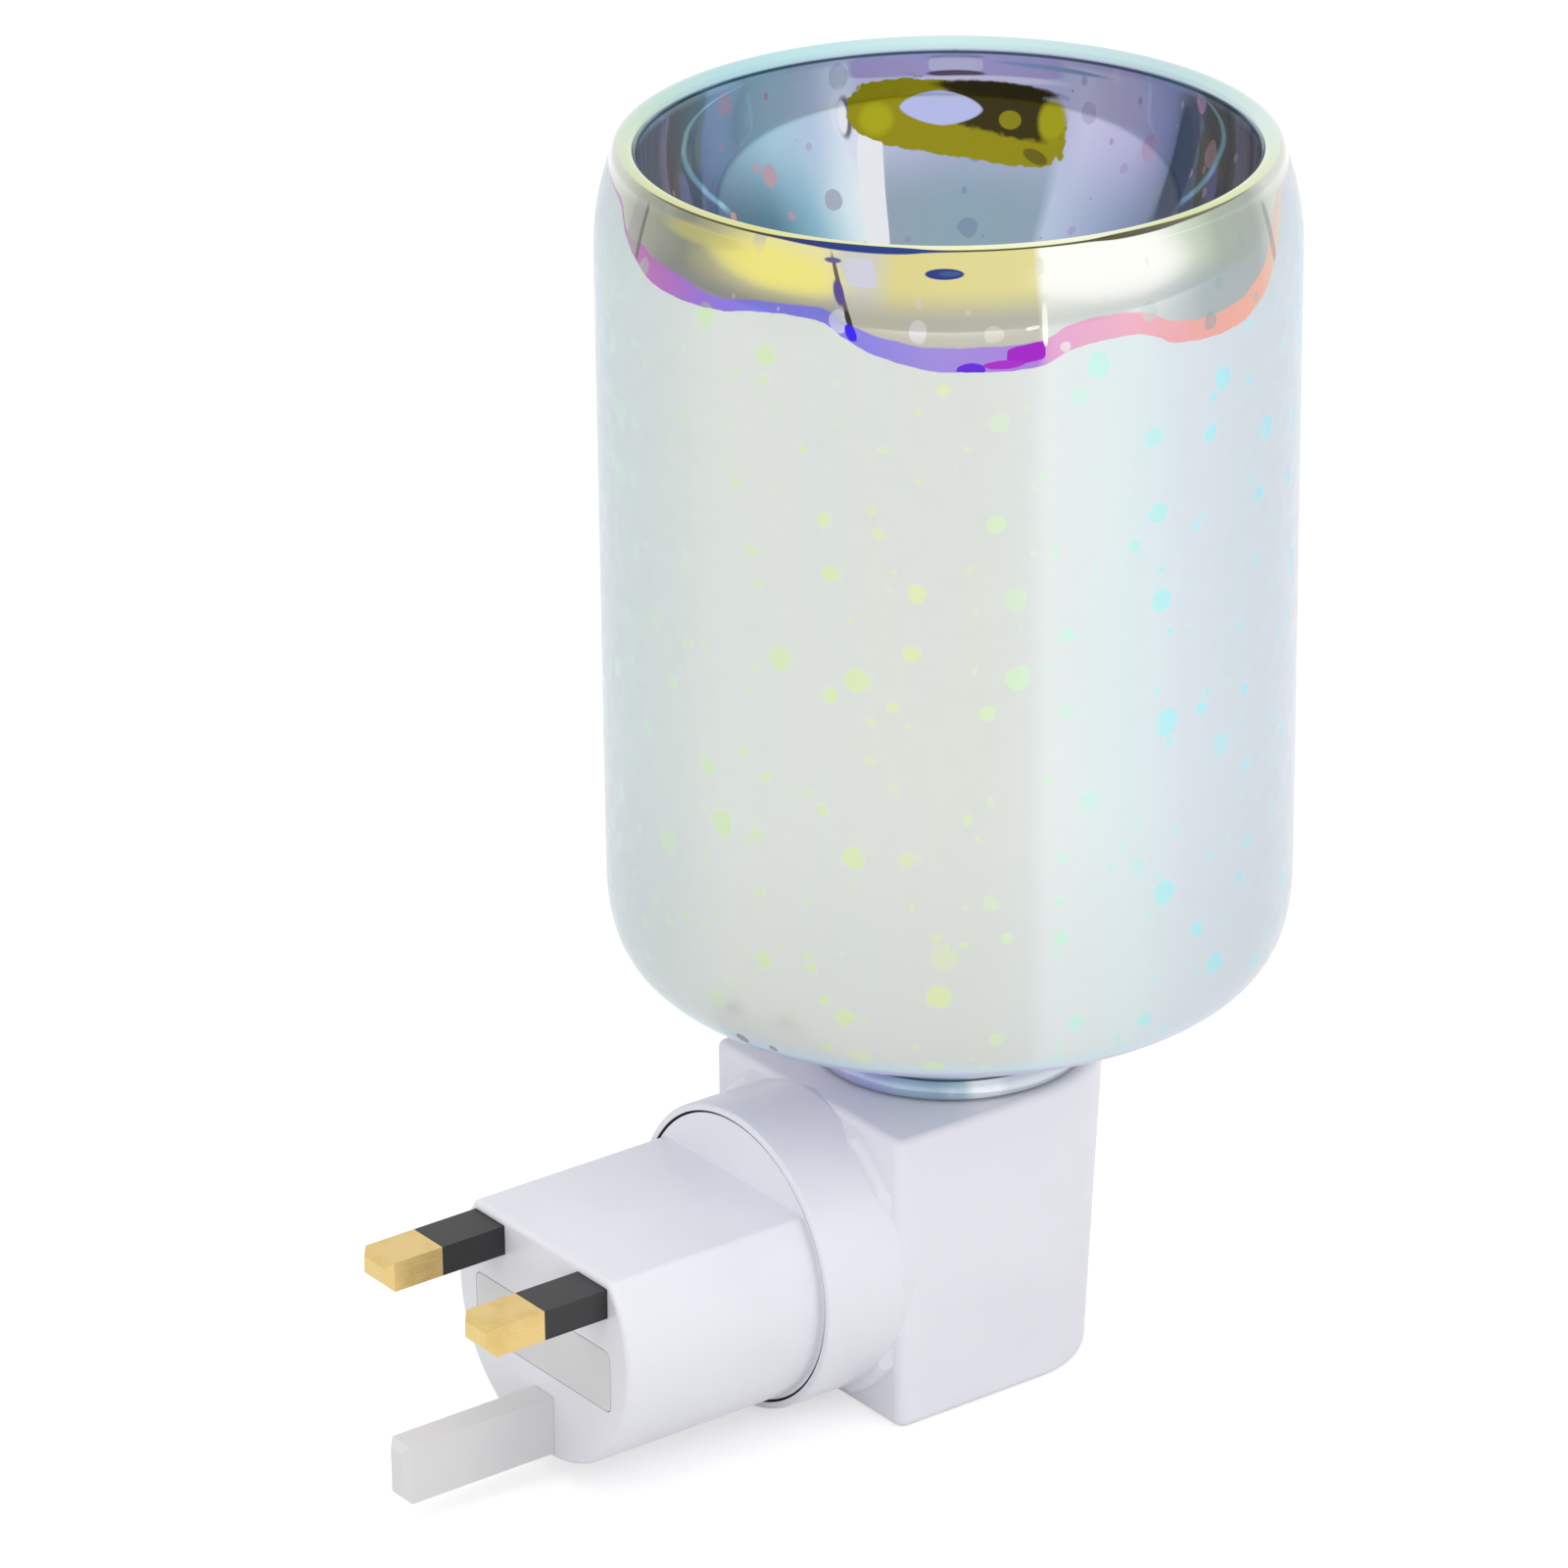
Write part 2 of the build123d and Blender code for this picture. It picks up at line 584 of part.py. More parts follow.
# Housing: a tapering shell with an oval nose, open below, with the swivel collar on its flat side
cover_boss_places = [
    (boss_radius - boss_sink - inner_half_width, -inner_back - boss_radius + boss_sink),
    (inner_half_width - boss_radius + boss_sink, -inner_back - boss_radius + boss_sink),
    (0, -shade_depth - nose_bottom_reach + housing_wall + boss_radius - boss_sink),
]
with BuildPart() as housing_shell:
    for level, reach in ((-housing_drop, nose_bottom_reach), (housing_top, nose_top_reach)):
        with BuildSketch(Plane.XY.offset(level)) as outer_plan:
            housing_outline(0, reach, housing_back)
            fillet(outer_plan.vertices().group_by(Axis.Y)[-1], housing_corner)
    loft()
    fillet(housing_shell.faces().sort_by(Axis.Z)[-1].edges(), top_edge_radius)
    fillet(housing_shell.faces().sort_by(Axis.Z)[0].edges(), bottom_edge_radius)
    add(collar_blend.part)
    with BuildSketch(Plane.XY):
        with BuildLine():
            Polyline(
                (0, -collar_front),
                (collar_radius, -collar_front),
                (collar_radius, -housing_back),
                (collar_radius - collar_fade_inset, -housing_back - collar_fade),
                (0, -housing_back - collar_fade),
                close=True,
            )
        make_face()
    revolve(axis=Axis.Y)
    fillet(housing_shell.faces().sort_by(Axis.Y)[-1].edges(), collar_edge_radius)
    for level, reach in ((-housing_drop - overrun, nose_bottom_reach), (inner_top, nose_top_reach)):
        with BuildSketch(Plane.XY.offset(level)):
            housing_outline(housing_wall, reach, inner_back)
    loft(mode=Mode.SUBTRACT)
    with BuildSketch(Plane.XZ.offset(collar_front - overrun)):
        Circle(collar_inner)
    extrude(amount=cup_floor - collar_front + overrun, mode=Mode.SUBTRACT)
    with BuildSketch(Plane.XZ.offset(bearing_back)):
        Circle(recess_radius)
    extrude(amount=inner_back - bearing_back + overrun, mode=Mode.SUBTRACT)
    with BuildSketch(Plane.XZ.offset(cup_floor - stop_rib_height)):
        Circle(peg_place + stop_rib_width / 2)
        Circle(peg_place - stop_rib_width / 2, mode=Mode.SUBTRACT)
        with Locations((peg_radius + thrust_gap + peg_place, 0)):
            Rectangle(2 * peg_place, 4 * peg_place, mode=Mode.INTERSECT)
    extrude(amount=stop_rib_height)
    with BuildSketch(Plane.XZ.offset(cup_floor - overrun)):
        Circle(hub_radius + running_gap)
    extrude(amount=bearing_length + 2 * overrun, mode=Mode.SUBTRACT)
    with BuildSketch(Plane.XY.offset(housing_top - housing_wall)):
        with Locations((0, -shade_depth)):
            Circle(spigot_radius)
    extrude(amount=housing_wall + spigot_height)
    spigot_rim = housing_shell.faces().sort_by(Axis.Z)[-1].edges()
    chamfer(spigot_rim, spigot_chamfer)
    with BuildSketch(Plane.XY.offset(housing_top)):
        with Locations((0, -shade_depth)):
            Circle(spigot_radius - spigot_wall)
    extrude(amount=spigot_height + overrun, mode=Mode.SUBTRACT)
    with BuildSketch(Plane.XY.offset(holder_bottom + holder_ear_thickness)):
        with Locations((-holder_screw_place, -shade_depth), (holder_screw_place, -shade_depth)):
            Circle(holder_boss_radius)
    extrude(amount=housing_top - overrun - holder_bottom - holder_ear_thickness)
    with BuildSketch(Plane.XY.offset(holder_bottom)):
        with Locations((-holder_screw_place, -shade_depth), (holder_screw_place, -shade_depth)):
            Circle(screw_radius + thread_gap)
    extrude(amount=screw_length + thread_gap, mode=Mode.SUBTRACT)
    with BuildSketch(Plane.XY.offset(inner_top - overrun)):
        with Locations((0, -shade_depth)):
            Circle(holder_radius + case_gap)
    extrude(amount=housing_wall + 2 * overrun, mode=Mode.SUBTRACT)
    with BuildSketch(Plane.XY.offset(cover_top)):
        with Locations(*cover_boss_places):
            Circle(boss_radius)
        web_length = housing_wall + boss_radius - 2 * boss_sink
        with Locations((0, web_length / 2 - shade_depth - nose_bottom_reach + boss_sink)):
            Rectangle(boss_web_width, web_length)
    extrude(amount=boss_height)
    with BuildSketch(Plane.XY.offset(cover_top - overrun)):
        with Locations(*cover_boss_places):
            Circle(screw_radius + thread_gap)
    extrude(amount=screw_length + overrun, mode=Mode.SUBTRACT)
    rib_height = carrier_top - cover_top
    rib_depths = (
        carrier_depth - case_gap - carrier_rib_thickness / 2,
        carrier_depth + carrier_thickness + case_gap + carrier_rib_thickness / 2,
    )
    with BuildSketch(Plane.XY.offset(cover_top)):
        for rib_side in (-1, 1):
            for rib_depth in rib_depths:
                with Locations((rib_side * (inner_half_width - carrier_rib_reach / 2), -rib_depth)):
                    Rectangle(carrier_rib_reach, carrier_rib_thickness)
    extrude(amount=rib_height)
    with BuildSketch(switch_plane):
        RectangleRounded(
            2 * (switch_half_width + case_gap), 2 * (switch_half_height + case_gap), switch_corner + case_gap
        )
    extrude(amount=2 * housing_wall, both=True, mode=Mode.SUBTRACT)
housing_shell.part.label = "housing_shell"

# Bottom cover: a plate let into the housing's open underside
with BuildPart() as bottom_cover:
    with BuildSketch(Plane.XY.offset(-housing_drop)):
        housing_outline(housing_wall + case_gap, nose_bottom_reach, inner_back + case_gap)
    extrude(amount=housing_wall)
    with Locations(*[Plane((x, y, -housing_drop), z_dir=(0, 0, -1)) for x, y in cover_boss_places]):
        CounterSinkHole(
            screw_radius + thread_gap, screw_head_radius + thread_gap, housing_wall, countersink_angle
        )
bottom_cover.part.label = "bottom_cover"

# Cover screws: flat heads, flush with the cover's underside
with BuildPart() as cover_screws:
    with BuildSketch(Plane.XY.offset(-housing_drop)):
        with Locations(*cover_boss_places):
            Circle(screw_radius)
    extrude(amount=screw_length)
    cone_height = (screw_head_radius - screw_radius) / tan(radians(countersink_angle / 2))
    for place in cover_boss_places:
        with Locations((place[0], place[1], cone_height / 2 - housing_drop)):
            Cone(screw_head_radius, screw_radius, cone_height)
    with BuildSketch(Plane.XY.offset(-housing_drop)):
        with Locations(*cover_boss_places):
            Rectangle(2 * screw_head_radius, screw_slot_width)
            Rectangle(screw_slot_width, 2 * screw_head_radius)
    extrude(amount=screw_slot_depth, mode=Mode.SUBTRACT)
cover_screws.part.label = "cover_screws"

# Lamp holder: a ceramic body with two ears, a socket for the lamp's foot and a well for each contact
holder_screw_spots = [(-holder_screw_place, -shade_depth), (holder_screw_place, -shade_depth)]
well_spots = [(-lamp_pin_spacing / 2, -shade_depth), (lamp_pin_spacing / 2, -shade_depth)]
with BuildPart() as lamp_holder:
    with BuildSketch(Plane.XY.offset(holder_bottom)):
        with Locations((0, -shade_depth)):
            SlotOverall(2 * holder_ear_reach, holder_ear_width)
            Circle(holder_radius)
    extrude(amount=holder_ear_thickness)
    with BuildSketch(Plane.XY.offset(holder_bottom + holder_ear_thickness)):
        with Locations((0, -shade_depth)):
            Circle(holder_radius)
    extrude(amount=holder_height - holder_ear_thickness)
    chamfer(lamp_holder.faces().sort_by(Axis.Z)[-1].edges(), spigot_chamfer)
    with BuildSketch(Plane.XY.offset(socket_floor)):
        with Locations((0, -shade_depth)):
            Rectangle(pinch_width + 2 * socket_gap, pinch_thickness + 2 * socket_gap)
    extrude(amount=socket_depth + overrun, mode=Mode.SUBTRACT)
    with BuildSketch(Plane.XY.offset(holder_bottom - overrun)):
        with Locations(*well_spots):
            Circle(well_radius)
        with Locations(*holder_screw_spots):
            Circle(screw_radius + thread_gap)
    extrude(amount=holder_height, mode=Mode.SUBTRACT)
lamp_holder.part.label = "lamp_holder"

# Holder contacts: a split socket for each lamp pin, with a tail below for its wire
contact_top = socket_floor - thread_gap
contact_bottom = contact_top - contact_length
with BuildPart() as holder_contacts:
    with BuildSketch(Plane.XY.offset(contact_bottom)):
        with Locations(*well_spots):
            Circle(contact_radius)
    extrude(amount=contact_length)
    with BuildSketch(Plane.XY.offset(contact_top)):
        with Locations(*well_spots):
            Rectangle(2 * well_radius, contact_slot)
    extrude(amount=-lamp_pin_length - lamp_pin_radius, mode=Mode.SUBTRACT)
    with BuildSketch(Plane.XY.offset(holder_bottom - contact_tail_reach)):
        with Locations(*well_spots):
            Circle(contact_tail_radius)
    extrude(amount=contact_bottom - holder_bottom + contact_tail_reach)
holder_contacts.part.label = "holder_contacts"

# Holder screws: pan heads under the ears
with BuildPart() as holder_screws:
    with BuildSketch(Plane.XY.offset(holder_bottom)):
        with Locations(*holder_screw_spots):
            Circle(screw_radius)
    extrude(amount=screw_length)
    with BuildSketch(Plane.XY.offset(holder_bottom - screw_head_height)):
        with Locations(*holder_screw_spots):
            Circle(screw_head_radius)
            Rectangle(screw_head_radius, screw_slot_width, mode=Mode.SUBTRACT)
    extrude(amount=screw_head_height)
holder_screws.part.label = "holder_screws"

# Contact carrier: an insulating plate across the housing, in ribs on both side walls
with BuildPart() as contact_carrier:
    with BuildSketch(Plane.XZ.offset(carrier_depth)):
        with Locations((0, (cover_top + carrier_top) / 2)):
            Rectangle(2 * (inner_half_width - case_gap), carrier_top - cover_top)
        with Locations((-finger_place, 0), (finger_place, 0)):
            Rectangle(finger_thickness + 2 * pin_fit, finger_width + 2 * pin_fit, mode=Mode.SUBTRACT)
    extrude(amount=carrier_thickness)
contact_carrier.part.label = "contact_carrier"

# Spring fingers: a tab through the carrier, bent along it and forward to a rounded tip on its ring
fingers = {}
finger_end = carrier_depth + carrier_thickness + finger_tail
for side, ring_radius, finger_name in (
    (1, line_ring_radius, "line_finger"),
    (-1, neutral_ring_radius, "neutral_finger"),
):
    tip = -ring_contact - contact_gap
    outer_face = finger_place + finger_thickness / 2
    with BuildPart() as finger:
        with BuildSketch(Plane.XY.offset(-finger_width / 2)):
            with BuildLine():
                strip = Polyline(
                    (side * outer_face, -finger_end),
                    (side * outer_face, -carrier_depth + finger_thickness),
                    (side * finger_bend, -carrier_depth + finger_thickness),
                    (side * ring_radius, tip),
                    (side * (ring_radius - finger_tip), tip - finger_tip_lift),
                )
                offset(strip, amount=finger_thickness, side=Side.LEFT if side > 0 else Side.RIGHT)
            make_face()
        extrude(amount=finger_width)
    finger.part.label = finger_name
    fingers[finger_name] = finger.part

# Switch frame: a case through the housing's nose, with a well for the rocker and a lug on each side
lug_place_share = (switch_half_width + switch_lug_reach) / inner_half_width
nose_drop = (nose_reach_at_switch - housing_wall) * (1 - sqrt(1 - lug_place_share ** 2))
lug_depth = housing_wall + nose_drop + case_gap
with BuildPart() as switch_frame:
    with BuildSketch(switch_plane.offset(-switch_body_depth)):
        RectangleRounded(2 * switch_half_width, 2 * switch_half_height, switch_corner)
    extrude(amount=switch_body_depth + switch_proud)
    with BuildSketch(switch_plane.offset(-lug_depth - switch_lug_length)):
        Rectangle(2 * (switch_half_width + switch_lug_reach), switch_lug_height)
    extrude(amount=switch_lug_length)
    with BuildSketch(switch_plane.offset(switch_proud)):
        Rectangle(2 * (rocker_half_width + rocker_gap), 2 * (rocker_half_height + 2 * rocker_gap))
    extrude(amount=-rocker_well_depth, mode=Mode.SUBTRACT)
    with Locations(switch_plane.offset(-rocker_pivot_depth)):
        Cylinder(
            rocker_pin_radius + running_gap,
            2 * (rocker_half_width + rocker_pin_reach + rocker_gap),
            rotation=(0, 90, 0),
            mode=Mode.SUBTRACT,
        )
switch_frame.part.label = "switch_frame"

# Rocker: two gentle slopes that meet over the pivot, with rounded ends and a pin on each side
rocker_centre = switch_plane.offset(-rocker_pivot_depth)
rocker_up = rocker_centre.y_dir.rotate(Axis.X, -rocker_tilt)
rocker_plane = Plane(origin=rocker_centre.origin, x_dir=rocker_up, z_dir=(1, 0, 0))
with BuildPart() as switch_rocker:
    with BuildSketch(rocker_plane.offset(-rocker_half_width)):
        with BuildLine():
            Polyline(
                (-rocker_half_height, -rocker_back),
                (-rocker_half_height, rocker_end_rise),
                (0, rocker_middle_rise),
                (rocker_half_height, rocker_end_rise),
                (rocker_half_height, -rocker_back),
                close=True,
            )
        make_face()
    extrude(amount=2 * rocker_half_width)
    with BuildSketch(rocker_plane.offset(-rocker_half_width - rocker_pin_reach)):
        Circle(rocker_pin_radius)
    extrude(amount=2 * (rocker_half_width + rocker_pin_reach))
switch_rocker.part.label = "switch_rocker"

# Switch terminals: two tabs below the switch's case
terminal_plane = Plane.XY.offset(switch_level - switch_half_height)
with BuildPart() as switch_terminals:
    with BuildSketch(terminal_plane):
        terminal_line = -shade_depth - nose_reach_at_switch + terminal_setback
        with Locations((-terminal_place, terminal_line), (terminal_place, terminal_line)):
            Rectangle(terminal_width, terminal_thickness)
    extrude(amount=-terminal_length)
switch_terminals.part.label = "switch_terminals"

# Wires inside the housing
terminal_end = switch_level - switch_half_height - terminal_length
tail_bottom = holder_bottom - contact_tail_reach
line_wire_route = [
    (finger_place, -finger_end, 0),
    (finger_place, -finger_end - finger_tail, 0),
    (finger_bend + wire_radius, -shade_depth - wire_radius, wire_low_level),
    (terminal_place, terminal_line, wire_low_level),
    (terminal_place, terminal_line, terminal_end),
]
with BuildPart() as line_wire:
    wire_along(line_wire_route, wire_radius)
line_wire.part.label = "line_wire"

switched_wire_route = [
    (-terminal_place, terminal_line, terminal_end),
    (-terminal_place, terminal_line, wire_low_level),
    (-lamp_pin_spacing / 2, -shade_depth, wire_low_level),
    (-lamp_pin_spacing / 2, -shade_depth, tail_bottom),
]
with BuildPart() as switched_wire:
    wire_along(switched_wire_route, wire_radius)
switched_wire.part.label = "switched_wire"

neutral_wire_route = [
    (-finger_place, -finger_end, 0),
    (-finger_place, -finger_end - finger_tail, 0),
    (lamp_pin_spacing / 2, -finger_end - finger_tail, wire_low_level / 2),
    (lamp_pin_spacing / 2, -shade_depth, wire_low_level / 2),
    (lamp_pin_spacing / 2, -shade_depth, tail_bottom),
]
with BuildPart() as neutral_wire:
    wire_along(neutral_wire_route, wire_radius)
neutral_wire.part.label = "neutral_wire"

# Glass shade: neck, rounded bottom, straight wall and rolled rim, with the wax bowl in one piece
shade_top = housing_top + shade_height
wall_top = shade_top - shoulder_height
bottom_level = housing_top + bottom_rise
wall_foot = bottom_level + corner_height
rim_level = shade_top - lip_height
rim_outer = shade_radius - shoulder_inset
bowl_radius = rim_outer - lip_thickness
neck_top = bottom_level - neck_root_radius
root_radius = neck_radius + neck_root_radius
bulge = shade_radius - root_radius
with BuildPart() as glass_shade:
    with BuildSketch(shade_plane):
        with BuildLine():
            foot = Line((neck_bore_radius, housing_top), (neck_radius, housing_top))
            bead = ThreePointArc(
                foot @ 1,
                (bead_radius, housing_top + bead_height / 2),
                (neck_radius, housing_top + bead_height),
            )
            low_ridge = ThreePointArc(
                bead @ 1,
                (ridge_radius, housing_top + bead_height + ridge_height / 2),
                (neck_radius, housing_top + bead_height + ridge_height),
            )
            neck_side = Line(low_ridge @ 1, (neck_radius, neck_top))
            root = TangentArc(neck_side @ 1, (root_radius, bottom_level), tangent=(0, 1))
            corner = Bezier(
                root @ 1,
                (root_radius + corner_fullness_share * bulge, bottom_level),
                (shade_radius, wall_foot - corner_fullness_share * corner_height),
                (shade_radius, wall_foot),
            )
            side = Line(corner @ 1, (shade_radius, wall_top))
            shoulder = TangentArc(side @ 1, (rim_outer, rim_level), tangent=(0, 1))
            rim = ThreePointArc(
                shoulder @ 1, (rim_outer - lip_thickness / 2, shade_top), (bowl_radius, rim_level)
            )
            bowl = oval_quarter(bowl_radius, bowl_depth, rim_level, 90)
            middle = Line(bowl @ 0, (0, rim_level - bowl_depth - glass_wall))
            underside = oval_quarter(
                bowl_radius + glass_wall, bowl_depth + glass_wall, rim_level, underside_turn
            )
            inner_side = Line((shade_radius - glass_wall, wall_foot), (shade_radius - glass_wall, wall_top))
            TangentArc(inner_side @ 1, underside @ 1, tangent=(0, 1))
            inner_corner = Bezier(
                inner_side @ 0,
                (shade_radius - glass_wall, wall_foot - corner_fullness_share * (corner_height - glass_wall)),
                (root_radius + corner_fullness_share * (bulge - glass_wall), bottom_level + glass_wall),
                (root_radius, bottom_level + glass_wall),
            )
            inner_root = TangentArc(
                inner_corner @ 1,
                (neck_bore_radius, neck_top),
                tangent=(-1, 0),
            )
            Line(inner_root @ 1, foot @ 0)
        make_face()
    revolve(axis=shade_axis)
glass_shade.part.label = "glass_shade"

# Lamp: a quartz bulb on a flattened foot, two hairpin pins and the filament inside
lamp_foot = socket_floor + lamp_seat_gap
lamp_top = lamp_foot + lamp_length
pinch_top = lamp_foot + pinch_height
with BuildPart() as bulb_envelope:
    with BuildSketch(shade_plane):
        with BuildLine():
            axis_line = Line((0, pinch_top - lamp_shoulder), (0, lamp_top))
            dome = TangentArc(
                (lamp_radius, lamp_top - lamp_radius), axis_line @ 1, tangent=(0, 1)
            )
            lamp_side = Line(dome @ 0, (lamp_radius, pinch_top + lamp_shoulder))
            Line(lamp_side @ 1, (lamp_radius / 2, pinch_top - lamp_shoulder))
            Line((lamp_radius / 2, pinch_top - lamp_shoulder), axis_line @ 0)
        make_face()
    revolve(axis=shade_axis)
    with BuildSketch(Plane.XY.offset(lamp_foot)):
        with Locations((0, -shade_depth)):
            RectangleRounded(pinch_width, pinch_thickness, pinch_corner)
    extrude(amount=pinch_height)
    with BuildSketch(shade_plane):
        with BuildLine():
            inner_axis = Line((0, pinch_top + lamp_wall), (0, lamp_top - lamp_wall))
            inner_dome = TangentArc(
                (lamp_radius - lamp_wall, lamp_top - lamp_radius), inner_axis @ 1, tangent=(0, 1)
            )
            inner_wall_foot = pinch_top + lamp_shoulder + lamp_wall
            inner_wall = Line(inner_dome @ 0, (lamp_radius - lamp_wall, inner_wall_foot))
            Line(inner_wall @ 1, (lamp_radius / 2, pinch_top + lamp_wall))
            Line((lamp_radius / 2, pinch_top + lamp_wall), inner_axis @ 0)
        make_face()
    revolve(axis=shade_axis, mode=Mode.SUBTRACT)
bulb_envelope.part.label = "bulb_envelope"

# Lamp pins: a hairpin loop of wire under each side of the foot
pin_run = lamp_pin_width / 2
pin_low_level = lamp_foot - lamp_pin_length
with BuildPart() as bulb_pins:
    for spot in well_spots:
        hairpin_route = [
            (spot[0] - pin_run, -shade_depth, lamp_foot),
            (spot[0] - pin_run, -shade_depth, pin_low_level),
            (spot[0] + pin_run, -shade_depth, pin_low_level),
            (spot[0] + pin_run, -shade_depth, lamp_foot),
        ]
        wire_along(hairpin_route, lamp_pin_radius)
bulb_pins.part.label = "bulb_pins"

# Filament: a coiled wire, drawn as its outer form, that rises, crosses and comes down again
filament_foot = pinch_top + lamp_wall
filament_route = [
    (-filament_half_width, -shade_depth, filament_foot),
    (-filament_half_width, -shade_depth, filament_foot + filament_height),
    (filament_half_width, -shade_depth, filament_foot + filament_height),
    (filament_half_width, -shade_depth, filament_foot),
]
with BuildPart() as bulb_filament:
    wire_along(filament_route, filament_radius)
bulb_filament.part.label = "bulb_filament"

os.makedirs("parts", exist_ok=True)
export_step(plug_shell.part, "parts/plug_shell.step")
export_step(live_pins["line_pin"], "parts/line_pin.step")
export_step(live_pins["neutral_pin"], "parts/neutral_pin.step")
export_step(pin_sleeves.part, "parts/pin_sleeves.step")
export_step(earth_pin.part, "parts/earth_pin.step")
export_step(fuse_carrier.part, "parts/fuse_carrier.step")
export_step(fuse_barrel.part, "parts/fuse_barrel.step")
export_step(fuse_caps.part, "parts/fuse_caps.step")
export_step(fuse_clips["line_clip"], "parts/line_clip.step")
export_step(fuse_clips["fused_clip"], "parts/fused_clip.step")
export_step(swivel_base.part, "parts/swivel_base.step")
export_step(retaining_clip.part, "parts/retaining_clip.step")
export_step(ring_carrier.part, "parts/ring_carrier.step")
export_step(slip_rings["line_ring"], "parts/line_ring.step")
export_step(slip_rings["neutral_ring"], "parts/neutral_ring.step")
export_step(line_lead.part, "parts/line_lead.step")
export_step(neutral_lead.part, "parts/neutral_lead.step")
export_step(housing_shell.part, "parts/housing_shell.step")
export_step(bottom_cover.part, "parts/bottom_cover.step")
export_step(cover_screws.part, "parts/cover_screws.step")
export_step(lamp_holder.part, "parts/lamp_holder.step")
export_step(holder_contacts.part, "parts/holder_contacts.step")
export_step(holder_screws.part, "parts/holder_screws.step")
export_step(contact_carrier.part, "parts/contact_carrier.step")
export_step(fingers["line_finger"], "parts/line_finger.step")
export_step(fingers["neutral_finger"], "parts/neutral_finger.step")
export_step(switch_frame.part, "parts/switch_frame.step")
export_step(switch_rocker.part, "parts/switch_rocker.step")
export_step(switch_terminals.part, "parts/switch_terminals.step")
export_step(line_wire.part, "parts/line_wire.step")
export_step(switched_wire.part, "parts/switched_wire.step")
export_step(neutral_wire.part, "parts/neutral_wire.step")
export_step(glass_shade.part, "parts/glass_shade.step")
export_step(bulb_envelope.part, "parts/bulb_envelope.step")
export_step(bulb_pins.part, "parts/bulb_pins.step")
export_step(bulb_filament.part, "parts/bulb_filament.step")
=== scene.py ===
import json
import math

import bmesh
import bpy
from mathutils import Matrix, Vector


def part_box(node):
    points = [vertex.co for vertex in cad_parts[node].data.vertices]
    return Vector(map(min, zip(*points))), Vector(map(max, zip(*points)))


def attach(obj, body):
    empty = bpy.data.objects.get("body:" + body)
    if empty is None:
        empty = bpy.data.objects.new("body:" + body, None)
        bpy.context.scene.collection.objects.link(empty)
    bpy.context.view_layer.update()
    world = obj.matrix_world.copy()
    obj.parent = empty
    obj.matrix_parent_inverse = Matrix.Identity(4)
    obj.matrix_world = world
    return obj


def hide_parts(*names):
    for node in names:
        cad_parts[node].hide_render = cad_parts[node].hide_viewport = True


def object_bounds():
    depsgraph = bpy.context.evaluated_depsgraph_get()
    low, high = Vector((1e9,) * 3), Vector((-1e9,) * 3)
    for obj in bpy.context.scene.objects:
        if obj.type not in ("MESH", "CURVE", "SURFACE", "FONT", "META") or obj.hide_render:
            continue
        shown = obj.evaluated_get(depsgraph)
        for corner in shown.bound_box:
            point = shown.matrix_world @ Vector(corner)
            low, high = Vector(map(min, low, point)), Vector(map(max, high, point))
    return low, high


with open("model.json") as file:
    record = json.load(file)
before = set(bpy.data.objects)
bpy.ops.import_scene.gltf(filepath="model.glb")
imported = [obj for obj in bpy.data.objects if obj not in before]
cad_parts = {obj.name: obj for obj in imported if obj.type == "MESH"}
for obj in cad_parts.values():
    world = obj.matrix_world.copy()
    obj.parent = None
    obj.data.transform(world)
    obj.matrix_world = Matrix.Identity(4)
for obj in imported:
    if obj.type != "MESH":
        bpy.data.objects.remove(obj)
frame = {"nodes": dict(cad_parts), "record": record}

mm = 0.001  # sizes below are in millimetres, the scene is in metres
grainDepth = 0.02 * mm
cadBox = [list(corner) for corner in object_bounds()]
nodes = frame["nodes"]
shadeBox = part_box("glass_shade")
glassMiddle = Vector(((shadeBox[0][0] + shadeBox[1][0]) / 2, (shadeBox[0][1] + shadeBox[1][1]) / 2, 0))
bpy.context.scene.view_settings.view_transform = "Standard"
print("frame loaded")


# Camera: a long lens, seen from the plug's side and a little above
camera = {
    "lens": 178.03,
    "sensor": 36.0,
    "place": (-715.2, 493.1, 452.0),
    "look": (0.7356, -0.5471, -0.3995),
    "roll": -0.63,  # degrees
    "reach": 50.0,  # metres
}


def addCamera():
    data = bpy.data.cameras.new("photoCamera")
    data.sensor_fit = "HORIZONTAL"
    data.sensor_width = camera["sensor"]
    data.lens = camera["lens"]
    data.clip_end = camera["reach"]
    look = Vector(camera["look"]).normalized()
    right = look.cross(Vector((0, 0, 1))).normalized()
    up = right.cross(look)
    turn = Matrix.Rotation(math.radians(-camera["roll"]), 3, look)
    axes = Matrix((turn @ right, turn @ up, -look)).transposed()
    item = bpy.data.objects.new("photoCamera", data)
    item.matrix_world = Matrix.Translation(Vector(camera["place"]) * mm) @ axes.to_4x4()
    bpy.context.scene.collection.objects.link(item)
    bpy.context.scene.camera = item


addCamera()
print("camera placed")


